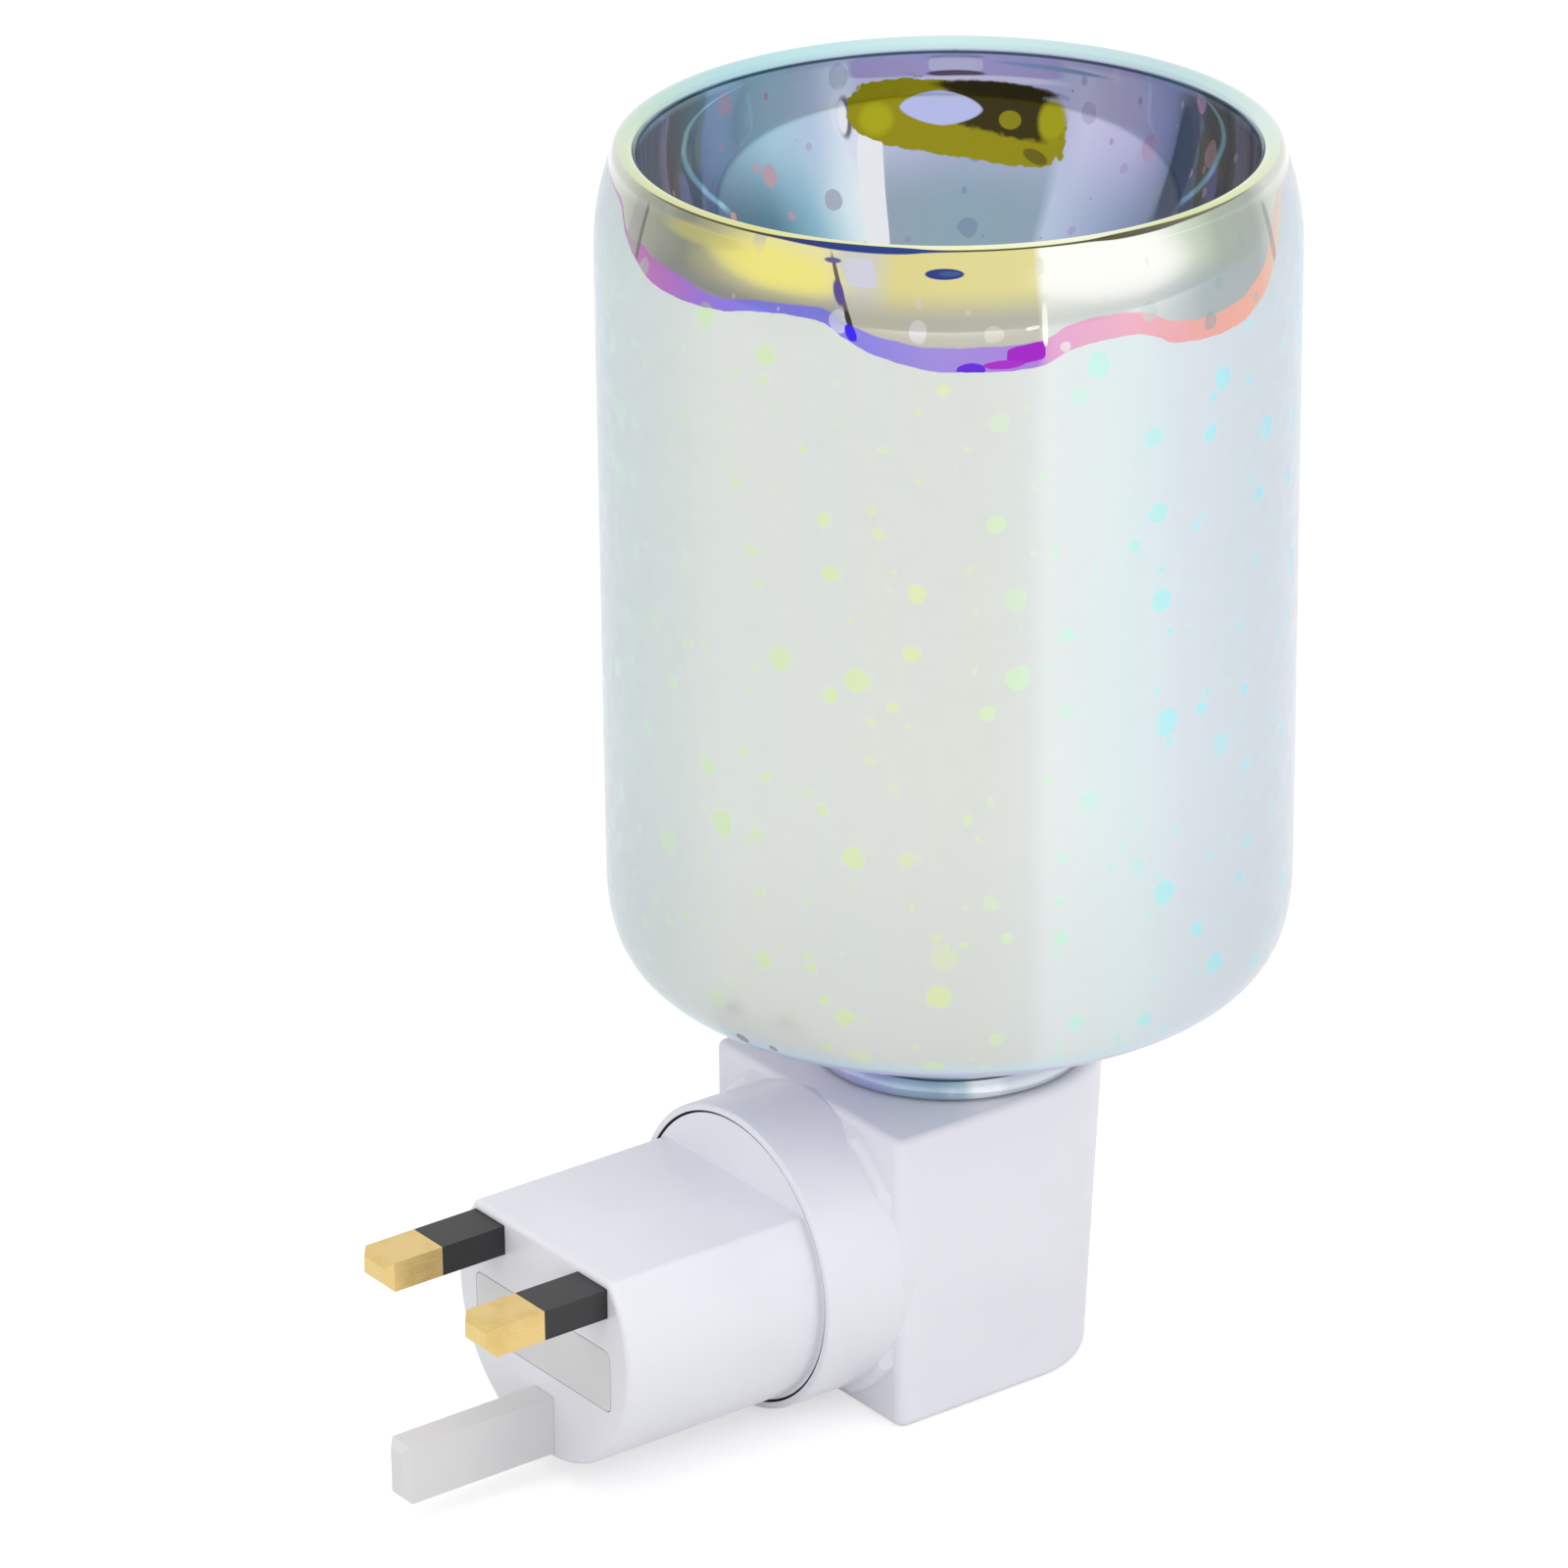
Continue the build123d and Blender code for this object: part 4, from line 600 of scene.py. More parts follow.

# Bright plating above the scalloped edge, its tones mostly painted reflections of a dark room and
# softboxes: its lowest tones, those near the rim and those of the rim itself
shoulderTintsAndReflections = {
    "edge": (  # turn and level of the scalloped edge
        (0.0, 141.0), (0.045, 140.2), (0.062, 137.6), (0.082, 134.8), (0.1, 133.4), (0.125, 133.1),
        (0.165, 134.4), (0.182, 134.5), (0.2, 132.6), (0.226, 129.9), (0.25, 128.9), (0.282, 129.0),
        (0.3, 130.8), (0.325, 131.5), (0.352, 129.2), (0.385, 128.4), (0.405, 129.6), (0.425, 133.4),
        (0.44, 137.5), (0.46, 140.6), (0.5, 141.0), (0.535, 138.6), (0.57, 133.6), (0.62, 131.0),
        (0.68, 132.5), (0.74, 130.0), (0.8, 129.0), (0.86, 131.0), (0.9, 134.5), (0.94, 139.5),
        (1.0, 141.0),
    ),
    "low": (
        (0.0, 214, 216, 221), (0.05, 204, 208, 209), (0.07, 168, 170, 168), (0.098, 126, 126, 128),
        (0.155, 132, 132, 132), (0.196, 146, 145, 140), (0.203, 178, 175, 158), (0.286, 180, 180, 168),
        (0.289, 208, 214, 206), (0.335, 204, 210, 208), (0.37, 160, 171, 173), (0.412, 158, 166, 168),
        (0.435, 204, 210, 213), (0.5, 212, 217, 221), (0.56, 168, 176, 180), (0.66, 150, 156, 158),
        (0.72, 206, 208, 204), (0.78, 176, 174, 160), (0.85, 140, 140, 140), (0.91, 172, 174, 174),
        (1.0, 214, 216, 221),
    ),
    "high": (
        (0.0, 206, 211, 206), (0.045, 196, 202, 188), (0.076, 158, 162, 146), (0.112, 134, 138, 122),
        (0.132, 178, 174, 134), (0.158, 232, 224, 150), (0.19, 232, 224, 160), (0.198, 206, 205, 198),
        (0.212, 208, 206, 190), (0.222, 222, 213, 140), (0.286, 226, 219, 150), (0.289, 255, 255, 246),
        (0.345, 250, 253, 246), (0.365, 208, 219, 200), (0.385, 170, 181, 166), (0.415, 162, 170, 162),
        (0.435, 206, 214, 204), (0.5, 214, 219, 209), (0.56, 170, 180, 166), (0.66, 190, 194, 160),
        (0.72, 248, 248, 230), (0.8, 222, 214, 146), (0.87, 150, 152, 132), (0.92, 170, 176, 162),
        (1.0, 206, 211, 206),
    ),
    "rim": (
        (0.0, 205, 222, 190), (0.08, 216, 220, 165), (0.15, 222, 222, 140), (0.24, 244, 244, 190),
        (0.31, 246, 250, 214), (0.37, 216, 226, 160), (0.43, 222, 230, 186), (0.52, 212, 232, 226),
        (0.62, 196, 222, 226), (0.75, 208, 238, 238), (0.87, 184, 224, 230), (1.0, 205, 222, 190),
    ),
    # the dark line along the rim is a painted reflection
    "rimLine": (
        (0.0, 120, 130, 110), (0.09, 90, 92, 52), (0.155, 66, 66, 40), (0.175, 34, 52, 120),
        (0.235, 30, 58, 140), (0.255, 70, 68, 34), (0.32, 84, 82, 60), (0.4, 120, 116, 98),
        (0.5, 120, 140, 140), (0.75, 60, 110, 116), (1.0, 120, 130, 110),
    ),
    "rimLineWidth": (
        (0.0, 0.0), (0.07, 0.02), (0.1, 0.1), (0.15, 0.14), (0.18, 0.3), (0.21, 0.42), (0.235, 0.22),
        (0.255, 0.12), (0.31, 0.14), (0.335, 0.34), (0.365, 0.22), (0.4, 0.1), (0.44, 0.0), (0.6, 0.0),
        (0.66, 0.1), (0.84, 0.1), (0.9, 0.0), (1.0, 0.0),
    ),
    "rimLineRadius": 40.98,
    "rimLineSoftness": (-0.06, 0.04),
    "rimLineLeast": 0.03,
    "rimRadius": 40.88,
    "rimSoftness": 0.1,
    "edgeRange": (125.0, 145.0),
    "edgeSoftness": 0.06,
    "tremble": 0.35,
    "trembleGrain": 500.0,
    "bandMost": 4.0,
    "bandSoftness": 0.12,
    "band": (
        (0.0, 176, 150, 180), (0.085, 172, 104, 166), (0.105, 164, 104, 178), (0.13, 140, 108, 202),
        (0.16, 116, 116, 214), (0.2, 124, 118, 212), (0.24, 148, 132, 206), (0.285, 160, 120, 206),
        (0.29, 214, 158, 198), (0.33, 224, 168, 184), (0.37, 224, 160, 152), (0.412, 224, 166, 142),
        (0.436, 216, 196, 182), (0.5, 206, 206, 210), (0.58, 224, 166, 150), (0.66, 214, 158, 190),
        (0.74, 150, 124, 208), (0.84, 116, 116, 214), (0.91, 168, 108, 176), (1.0, 176, 150, 180),
    ),
    "bandHeight": (
        (0.0, 0.2), (0.06, 0.5), (0.082, 2.6), (0.1, 2.9), (0.12, 2.3), (0.165, 1.3), (0.19, 1.7),
        (0.23, 2.7), (0.28, 3.2), (0.33, 2.8), (0.36, 2.7), (0.41, 3.2), (0.43, 3.2), (0.46, 0.4),
        (0.54, 0.6), (0.58, 2.6), (0.7, 2.0), (0.84, 2.4), (0.92, 2.0), (1.0, 0.3),
    ),
    "dotTints": (
        (0.0, 196, 206, 206), (0.12, 146, 148, 140), (0.19, 208, 208, 226), (0.28, 214, 210, 190),
        (0.3, 228, 236, 226), (0.37, 134, 156, 154), (0.44, 150, 190, 186), (1.0, 196, 206, 206),
    ),
    "dotShare": 0.6,
    "mixLevels": (134.6, 139.4),
    "patches": (
        # dark frame of the painted bright reflection on the left, and its softer one on the right
        ((0.0785, 138.6), (0.0016, 3.4), (72, 76, 66), {"square": 4.0, "edge": 0.6, "share": 0.75}),
        ((0.072, 138.6), (0.006, 3.8), (150, 152, 146), {"square": 3.0, "edge": 0.7, "share": 0.6}),
        ((0.4265, 137.4), (0.0022, 3.6), (138, 130, 134), {"square": 4.0, "edge": 0.6, "share": 0.6}),
        # yellow glow on the left, a painted highlight
        ((0.165, 139.7), (0.034, 2.3), (240, 230, 118), {"edge": 0.75, "slope": -22.0, "share": 0.75}),
        ((0.12, 141.2), (0.024, 1.0), (196, 190, 104), {"edge": 0.8, "share": 0.6}),
        # the slanted line and the pale block beside it
        ((0.2065, 140.4), (0.007, 1.6), (208, 208, 222), {"lean": -0.0008, "square": 6.0, "edge": 0.2}),
        ((0.199, 137.4), (0.0011, 4.8), (104, 94, 84), {"lean": -0.0014, "square": 3.0, "edge": 0.5}),
        ((0.1972, 137.9), (0.0024, 1.5), (88, 72, 146), {"lean": -0.001, "edge": 0.4}),
        ((0.193, 141.5), (0.004, 0.32), (96, 92, 150), {"edge": 0.4}),
        ((0.2022, 134.9), (0.0013, 1.1), (50, 46, 46), {"lean": -0.0012, "edge": 0.4}),
        ((0.2035, 133.3), (0.0024, 1.0), (46, 12, 226), {"lean": -0.0012, "square": 2.4, "edge": 0.2}),
        # small dark blue ellipse
        ((0.2445, 140.6), (0.0088, 0.62), (36, 56, 134), {"edge": 0.15}),
        ((0.247, 140.65), (0.005, 0.3), (62, 92, 150), {"edge": 0.6, "share": 0.8}),
        # magenta and violet in the band
        ((0.28, 130.9), (0.0086, 1.15), (152, 10, 184), {"square": 5.0, "ragged": 0.9, "slope": 40.0}),
        ((0.27, 129.7), (0.009, 0.55), (160, 30, 186), {"ragged": 0.7}),
        ((0.256, 129.2), (0.0062, 0.85), (92, 24, 204), {"ragged": 0.4}),
        # the bright edge of the white reflection
        ((0.2885, 134.2), (0.0012, 2.6), (246, 246, 232), {"square": 3.0, "edge": 0.3, "ragged": 0.8}),
        ((0.283, 134.0), (0.003, 0.22), (232, 230, 214), {"square": 4.0, "slope": 30.0}),
        ((0.325, 139.6), (0.035, 3.2), (255, 255, 250), {"edge": 0.8, "share": 0.7}),
    ),
}

# Mirror-bright plating inside the bowl: plating tints with painted reflections and highlights
bowlTintsAndReflections = {
    "low": (
        (0.0, 112, 120, 134), (0.1, 190, 200, 214), (0.25, 222, 228, 240), (0.4, 186, 192, 208),
        (0.5, 104, 108, 120), (0.575, 96, 104, 118), (0.604, 96, 108, 124), (0.609, 132, 146, 174),
        (0.635, 156, 172, 204), (0.668, 190, 204, 230), (0.6825, 200, 214, 236), (0.6845, 154, 176, 192),
        (0.74, 150, 178, 192), (0.7955, 158, 174, 190), (0.7985, 246, 254, 255), (0.812, 226, 246, 253),
        (0.835, 150, 196, 216), (0.865, 92, 136, 156), (0.895, 86, 112, 132), (0.93, 104, 116, 132),
        (1.0, 106, 114, 128),
    ),
    "high": (
        (0.0, 116, 114, 122), (0.1, 190, 196, 208), (0.25, 224, 228, 240), (0.4, 184, 188, 204),
        (0.5, 100, 100, 108), (0.575, 104, 104, 118), (0.604, 108, 112, 130), (0.612, 146, 150, 190),
        (0.635, 196, 192, 232), (0.668, 214, 212, 244), (0.684, 196, 198, 232), (0.74, 196, 190, 230),
        (0.795, 212, 220, 246), (0.804, 232, 242, 254), (0.822, 196, 214, 240), (0.85, 176, 214, 232),
        (0.875, 152, 186, 206), (0.9, 132, 156, 184), (0.94, 122, 120, 134), (1.0, 112, 108, 116),
    ),
    "mixLevels": (123.0, 134.0),
    "dotTints": (
        (0.0, 196, 158, 158), (0.5, 176, 146, 152), (0.6, 196, 160, 184), (0.69, 150, 150, 206),
        (0.74, 128, 152, 174), (0.8, 140, 168, 194), (0.87, 214, 162, 166), (1.0, 196, 158, 158),
    ),
    "dots": ((10.5, 0.5, 1.9, 0.9, 100.0), (8.0, 0.2, 0.7, 0.8, 500.0)),
    "dotShare": 0.8,
    "dishRadius": 36.0,
    "dishPlace": 200.0,  # where the dots' flat layout has its middle
    "dishLength": 1000.0,
    "floorLevels": (109.0, 121.0),
    "floorShare": 0.7,
    "floorTone": (168, 182, 204),
    "arcLevels": (120.0, 142.0),
    "arcTurns": (0.5, 1.0),
    "arcWidths": (0.2, 1.1),
    "arcFade": 2.0,
    "arcShare": 0.9,
    "lightArcs": (  # curved streaks of painted reflection: (height, turn) points, the height where they start, and their tone
        (((120.0, 0.884), (126.8, 0.897), (130.0, 0.909), (134.4, 0.918), (137.0, 0.913), (138.1, 0.908),
          (139.7, 0.890), (140.8, 0.864), (142.0, 0.835)), 126.0, (168, 222, 244)),
        (((120.0, 0.610), (127.5, 0.590), (130.8, 0.577), (134.6, 0.569), (138.4, 0.568), (140.4, 0.579),
          (141.3, 0.591), (142.0, 0.612)), 127.0, (142, 184, 214)),
    ),
    "rimGlow": (
        (0.0, 150, 140, 160), (0.55, 126, 128, 146), (0.66, 178, 168, 222), (0.8, 170, 180, 226),
        (0.87, 164, 212, 230), (0.95, 178, 188, 224), (1.0, 150, 140, 160),
    ),
    "rimGlowLevels": (-1.1, -0.3),  # here and below, mm above the rim's start, or across its line
    "rimLineRise": 0.15,
    "rimLineWidths": (0.1, 0.3),
    "rimLevels": (0.4, 0.7),
    "rimGlowShare": 0.6,
    "rimLine": (56, 92, 98),
    "rimLineShare": 0.9,
    "even": {
        "Metallic": 0.4, "Roughness": 0.05, "Specular IOR Level": 0.2, "Coat Weight": 0.1,
        "Coat Roughness": 0.02,
    },
    "patches": (
        # lavender under the far rim, with a paler window in it
        ((0.742, 140.2), (0.058, 1.5), (184, 172, 222), {"square": 6.0, "edge": 0.3}),
        ((0.742, 141.2), (0.015, 0.3), (122, 106, 140), {"edge": 0.4}),
        ((0.742, 140.1), (0.0145, 0.95), (206, 202, 232), {"square": 4.0}),
        ((0.742, 138.95), (0.0155, 0.42), (98, 84, 108), {"edge": 0.3}),
        ((0.69, 140.3), (0.03, 0.32), (140, 166, 206), {"edge": 0.5, "slope": 8.0}),
        # painted highlights: white outline and strips beside the olive patch
        ((0.802, 133.6), (0.009, 4.2), (232, 238, 255), {"edge": 0.35, "lean": 0.0008}),
        ((0.8035, 134.2), (0.0042, 2.6), (112, 118, 130), {"edge": 0.4}),
        ((0.805, 134.2), (0.003, 2.1), (246, 248, 255), {"edge": 0.4}),
        ((0.793, 125.5), (0.008, 7.0), (250, 250, 255), {"lean": -0.0004, "square": 4.0, "edge": 0.2}),
        ((0.74, 138.1), (0.057, 0.55), (226, 220, 246), {"edge": 0.5, "slope": -6.0}),
        # the olive patch, a painted reflection tinted by the plating
        (
            (0.74, 133.2), (0.0615, 4.5), (158, 150, 0),
            {"square": 3.0, "ragged": 0.45, "slope": 30.0, "edge": 0.04},
        ),
        (
            (0.715, 134.4), (0.033, 3.0), (58, 50, 0),
            {"square": 3.0, "ragged": 0.8, "slope": 34.0, "edge": 0.3},
        ),
        ((0.718, 137.1), (0.034, 0.9), (46, 38, 0), {"ragged": 0.8, "slope": 12.0, "edge": 0.4}),
        ((0.688, 133.6), (0.008, 2.6), (172, 168, 0), {"edge": 0.5}),
        ((0.786, 133.6), (0.0095, 2.0), (182, 178, 6), {"edge": 0.6}),
        ((0.75, 134.6), (0.0225, 2.15), (196, 202, 248), {"square": 1.6, "edge": 0.08, "slope": 10.0}),
        ((0.712, 133.3), (0.0062, 1.15), (148, 140, 10), {"edge": 0.2}),
        ((0.6955, 129.2), (0.0075, 0.8), (112, 104, 10), {"edge": 0.3, "slope": 60.0}),
        # dark edge on the right
        ((0.598, 132.5), (0.009, 7.5), (78, 86, 106), {"edge": 0.4, "square": 3.0, "ragged": 0.3}),
    ),
}


# The satin wall, with its clouds and dots, and the painted blue sheen and line round its foot
def satinWall(turn, height, across, dots, halos):
    look = satinTintsAndPaintedLight
    around, up = look["cloudStretch"]
    cloud = noise(joinAxes(times(across, around), times(height, up)), scale=1.0)
    cloud = spread(cloud, *look["cloudLevels"], 0.0, look["cloudShare"])
    wall = mixColour(cloud, ramp(turn, look["tints"]), tone(*look["cloudTone"]))
    wall = mixColour(times(halos, look["haloShare"]), wall, tone(*look["haloTone"]))
    wall = mixColour(times(dots, look["dotShare"]), wall, ramp(turn, look["dotTints"]))
    sheenTop, sheenBottom, lineTop, lineBottom, underTop, underBottom = look["footLevels"]
    sheenShare, lineShare = look["footShares"]
    # painted sheen and line where the wall turns under at its foot
    wall = mixColour(fade(height, sheenBottom, sheenTop, sheenShare), wall, ramp(turn, look["footEdgeSheen"]))
    wall = mixColour(fade(height, lineBottom, lineTop, lineShare), wall, ramp(turn, look["footSheenLine"]))
    wall = mixColour(fade(height, underBottom, underTop), wall, tone(*look["underTone"]))
    return paintPatches(wall, turn, height, look["patches"])


# The bright shoulder in painted reflections, with the coloured band at its foot and the dark line along the
# rim, also a painted reflection
def brightShoulder(turn, height, radius, above, dots):
    look = shoulderTintsAndReflections
    # painted reflections of room and softboxes, low on the shoulder and near the rim
    mixed = spread(height, *look["mixLevels"])
    shoulder = mixColour(mixed, ramp(turn, look["low"]), ramp(turn, look["high"]))
    bandTop = curveOver(turn, look["bandHeight"], 0.0, look["bandMost"])
    soft = look["bandSoftness"]
    inBand = fade(less(above, bandTop), -soft, soft)
    shoulder = mixColour(inBand, shoulder, ramp(turn, look["band"]))
    shoulder = mixColour(times(dots, look["dotShare"]), shoulder, ramp(turn, look["dotTints"]))
    shoulder = paintPatches(shoulder, turn, height, look["patches"])
    onTop = maths("GREATER_THAN", height, shade["top"] - shade["lipHeight"])
    soft = look["rimSoftness"]
    rim = fade(radius, look["rimRadius"] - soft, look["rimRadius"] + soft)
    shoulder = mixColour(times(rim, onTop), shoulder, ramp(turn, look["rim"]))
    # painted reflection: the dark line along the rim
    width = curveOver(turn, look["rimLineWidth"], 0.0, 1.0)
    line = fade(less(apart(radius, look["rimLineRadius"]), width), *look["rimLineSoftness"])
    line = times(line, maths("GREATER_THAN", width, look["rimLineLeast"]))
    return mixColour(times(line, onTop), shoulder, ramp(turn, look["rimLine"]))


# Outside of the glass: satin below a scalloped, slightly ragged edge, and bright above it
def platedWall():
    material, tree, shader = newMaterial("platedWall")
    place = useGroup(tree, "roundTheGlass")
    turn, height, radius = place["Turn"], place["Height"], place["Radius"]
    length = math.tau * shade["radius"]
    across = times(turn, length)
    unrolled = less(height, less(shade["radius"], radius))
    dots, halos = allDots(across, unrolled, length, satinTintsAndPaintedLight["dots"])
    wall = satinWall(turn, height, across, dots, halos)
    tremble = times(tremor(tree, shoulderTintsAndReflections["trembleGrain"]), shoulderTintsAndReflections["tremble"])
    level = curveOver(turn, shoulderTintsAndReflections["edge"], *shoulderTintsAndReflections["edgeRange"])
    above = less(height, plus(level, tremble))
    shoulder = brightShoulder(turn, height, radius, above, dots)
    bright = spread(above, -shoulderTintsAndReflections["edgeSoftness"], shoulderTintsAndReflections["edgeSoftness"])
    fill(shader.inputs["Base Color"], mixColour(bright, wall, shoulder))
    satin = noise(joinAxes(across, unrolled), satinTintsAndPaintedLight["satinGrain"], detail=3.0)
    satin = times(spread(satin, *satinTintsAndPaintedLight["satin"]), less(1.0, bright))
    fill(shader.inputs["Roughness"], plus(satin, satinTintsAndPaintedLight["smoothest"]))
    pearl = spread(height, *satinTintsAndPaintedLight["pearlLevels"], *satinTintsAndPaintedLight["pearlMetal"])
    fill(shader.inputs["Metallic"], maths("MAXIMUM", bright, pearl))
    setEven(shader, satinTintsAndPaintedLight["even"])
    return material


# Inside of the bowl, with painted reflections
def platedBowl():
    look = bowlTintsAndReflections
    material, tree, shader = newMaterial("platedBowl")
    place = useGroup(tree, "roundTheGlass")
    turn, height, radius = place["Turn"], place["Height"], place["Radius"]
    mixed = spread(height, *look["mixLevels"])
    bowl = mixColour(mixed, ramp(turn, look["low"]), ramp(turn, look["high"]))
    # a deep blue-grey floor, where no side is seen
    floor = fade(height, *look["floorLevels"], look["floorShare"])
    bowl = mixColour(floor, bowl, tone(*look["floorTone"]))
    # dots are laid out flat from the bowl's lowest point
    rimLevel = shade["top"] - shade["lipHeight"]
    reach = times(maths("ARCTAN2", radius, less(rimLevel, height)), look["dishRadius"])
    flat = []
    for wave in ("COSINE", "SINE"):
        flat.append(plus(times(reach, maths(wave, times(turn, math.tau))), look["dishPlace"]))
    dots = allDots(*flat, look["dishLength"], look["dots"])[0]
    bowl = mixColour(times(dots, look["dotShare"]), bowl, ramp(turn, look["dotTints"]))
    bottom, top = look["arcLevels"]
    upTheBowl = spread(height, bottom, top, smooth=False)
    length = math.tau * shade["radius"]
    # painted reflections: curved light streaks up the bowl
    for points, start, paint in look["lightArcs"]:
        shares = [((level - bottom) / (top - bottom), place) for level, place in points]
        off = times(apart(turn, curveOver(upTheBowl, shares, *look["arcTurns"])), length)
        arc = fade(off, *look["arcWidths"], look["arcShare"])
        arc = times(arc, spread(height, start, start + look["arcFade"]))
        bowl = mixColour(arc, bowl, tone(*paint))
    bowl = paintPatches(bowl, turn, height, look["patches"])
    low, high = look["rimGlowLevels"]
    glow = spread(height, rimLevel + low, rimLevel + high, 0.0, look["rimGlowShare"])
    bowl = mixColour(glow, bowl, ramp(turn, look["rimGlow"]))
    off = apart(height, rimLevel + look["rimLineRise"])
    line = fade(off, *look["rimLineWidths"], look["rimLineShare"])
    bowl = mixColour(line, bowl, tone(*look["rimLine"]))
    low, high = look["rimLevels"]
    rim = spread(height, rimLevel + low, rimLevel + high)
    bowl = mixColour(rim, bowl, ramp(turn, shoulderTintsAndReflections["rim"]))
    fill(shader.inputs["Base Color"], bowl)
    setEven(shader, look["even"])
    return material


# The beaded neck: the same plating, in stronger colours with a painted highlight, and painted shade as dark
# lines in its grooves
neckTintsAndPaintedLight = {
    # tints round the neck; the white from turn 0.275 to 0.3 is a painted highlight
    "tints": (
        (0.0, 200, 204, 226), (0.09, 190, 188, 230), (0.15, 168, 178, 226), (0.19, 172, 196, 218),
        (0.235, 162, 190, 208), (0.262, 186, 208, 220), (0.275, 244, 250, 253), (0.3, 240, 246, 250),
        (0.315, 214, 222, 230), (0.4, 206, 214, 222), (0.5, 200, 206, 220), (0.75, 186, 208, 224),
        (1.0, 200, 204, 226),
    ),
    "clouds": 260.0,
    "cloudLevels": (0.5, 0.75),
    "cloudTone": (216, 220, 236),
    "cloudShare": 0.5,
    "grooveTone": (52, 92, 104),
    "grooveWidths": (0.08, 0.16),
    "grooveShare": 0.85,
    "footGroove": 0.25,
    "even": {"Metallic": 0.4, "Roughness": 0.08, "Coat Weight": 0.6, "Coat Roughness": 0.03},
}


def platedNeck():
    look = neckTintsAndPaintedLight
    material, tree, shader = newMaterial("platedNeck")
    place = useGroup(tree, "roundTheGlass")
    turn, height = place["Turn"], place["Height"]
    cloud = noise(objectPoint(tree), look["clouds"])
    cloud = spread(cloud, *look["cloudLevels"], 0.0, look["cloudShare"])
    neck = mixColour(cloud, ramp(turn, look["tints"]), tone(*look["cloudTone"]))
    ridgeFoot = shade["foot"] + shade["beadHeight"]
    # painted shade: dark lines in the grooves between the beads
    for level in (shade["foot"] + look["footGroove"], ridgeFoot, ridgeFoot + shade["ridgeHeight"]):
        line = fade(apart(height, level), *look["grooveWidths"], look["grooveShare"])
        neck = mixColour(line, neck, tone(*look["grooveTone"]))
    fill(shader.inputs["Base Color"], neck)
    setEven(shader, look["even"])
    return material


# Moulded plastics and ceramics: main tone, shade, speck, roughness, strength of the specks, and grain
mouldings = {
    "white_moulding": ((238, 238, 245), (233, 233, 240), (140, 138, 140), 0.32, 0.55, 0.30),
    "pale_moulding": ((226, 225, 226), (218, 217, 219), (150, 148, 146), 0.45, 0.3, 0.35),
    "sleeve_moulding": ((34, 34, 36), (26, 26, 28), (60, 60, 62), 0.45, 0.2, 0.35),
    "holder_ceramic": ((233, 229, 219), (222, 217, 205), (150, 140, 128), 0.55, 0.3, 0.5),
    "fuse_ceramic": ((232, 228, 216), (220, 214, 200), (150, 140, 128), 0.5, 0.2, 0.4),
    "line_insulation": ((116, 70, 42), (98, 58, 34), (60, 40, 28), 0.35, 0.1, 0.3),
    "neutral_insulation": ((52, 92, 168), (44, 80, 150), (30, 44, 80), 0.35, 0.1, 0.3),
}


# The gap round the swivel disc is painted darker, as painted shade with some dust: radii and depths about
# the swivel's axis
swivelSeam = {
    "moulding": "white_moulding",
    "radii": (19.1, 19.46),
    "depths": (-34.3, -29.85),
    "dustAndShade": (92, 92, 98),
}


# Painted shade, with some dust, down the gap round the swivel disc
def shadeAndDustTheSeam(colour):
    across, along, up = splitAxes(objectPoint(colour.id_data))
    inGap = 1.0
    for value, (low, high) in ((distance(across, up), swivelSeam["radii"]), (along, swivelSeam["depths"])):
        inGap = times(inGap, maths("GREATER_THAN", value, low * mm))
        inGap = times(inGap, maths("LESS_THAN", value, high * mm))
    return mixColour(inGap, colour, tone(*swivelSeam["dustAndShade"]))


def moulding(name):
    main, shadow, speck, rough, specks, grain = mouldings[name]
    material, tree, shader = newMaterial(name)
    skin = useGroup(
        tree, "mouldingGrain", Main=tone(*main), Shade=tone(*shadow), Speck=tone(*speck), Rough=rough,
        Specks=specks,
    )
    colour = skin["Colour"]
    # the white moulding gets painted shade in the swivel gap
    if name == swivelSeam["moulding"]:
        colour = shadeAndDustTheSeam(colour)
    fill(shader.inputs["Base Color"], colour)
    fill(shader.inputs["Roughness"], skin["Roughness"])
    addBump(shader, skin["Height"], grain)
    return material


# Metals: main tone, tarnish, roughness, and the way their fine lines run
metals = {
    "pin_brass": ((226, 198, 132), (214, 182, 114), 0.22, (1.0, 0.06, 1.0)),
    "contact_brass": ((214, 178, 108), (180, 140, 80), 0.30, (0.1, 1.0, 1.0)),
    "screw_steel": ((190, 190, 192), (150, 150, 152), 0.30, (1.0, 1.0, 0.1)),
    "tungsten": ((150, 150, 154), (110, 110, 114), 0.35, (1.0, 1.0, 0.1)),
}


def metal(name):
    colour, tarnish, rough, stretch = metals[name]
    material, tree, shader = newMaterial(name)
    skin = useGroup(
        tree, "drawnMetal", Main=tone(*colour), Tarnish=tone(*tarnish), Rough=rough, Stretch=stretch
    )
    fill(shader.inputs["Base Color"], skin["Colour"])
    fill(shader.inputs["Roughness"], skin["Roughness"])
    setEven(shader, metalLook["even"])
    addBump(shader, skin["Height"], metalLook["relief"])
    return material


quartz = {
    "clear": (250, 251, 252),
    "clouded": (238, 242, 246),
    "clouds": 160.0,
    "cloudLevels": (0.35, 0.75),
    "even": {"Roughness": 0.02, "Transmission Weight": 1.0, "IOR": 1.46},
}


def lampQuartz():
    material, tree, shader = newMaterial("lampQuartz")
    clouds = spread(noise(objectPoint(tree), quartz["clouds"]), *quartz["cloudLevels"])
    colour = mixColour(clouds, tone(*quartz["clear"]), tone(*quartz["clouded"]))
    fill(shader.inputs["Base Color"], colour)
    setEven(shader, quartz["even"])
    return material


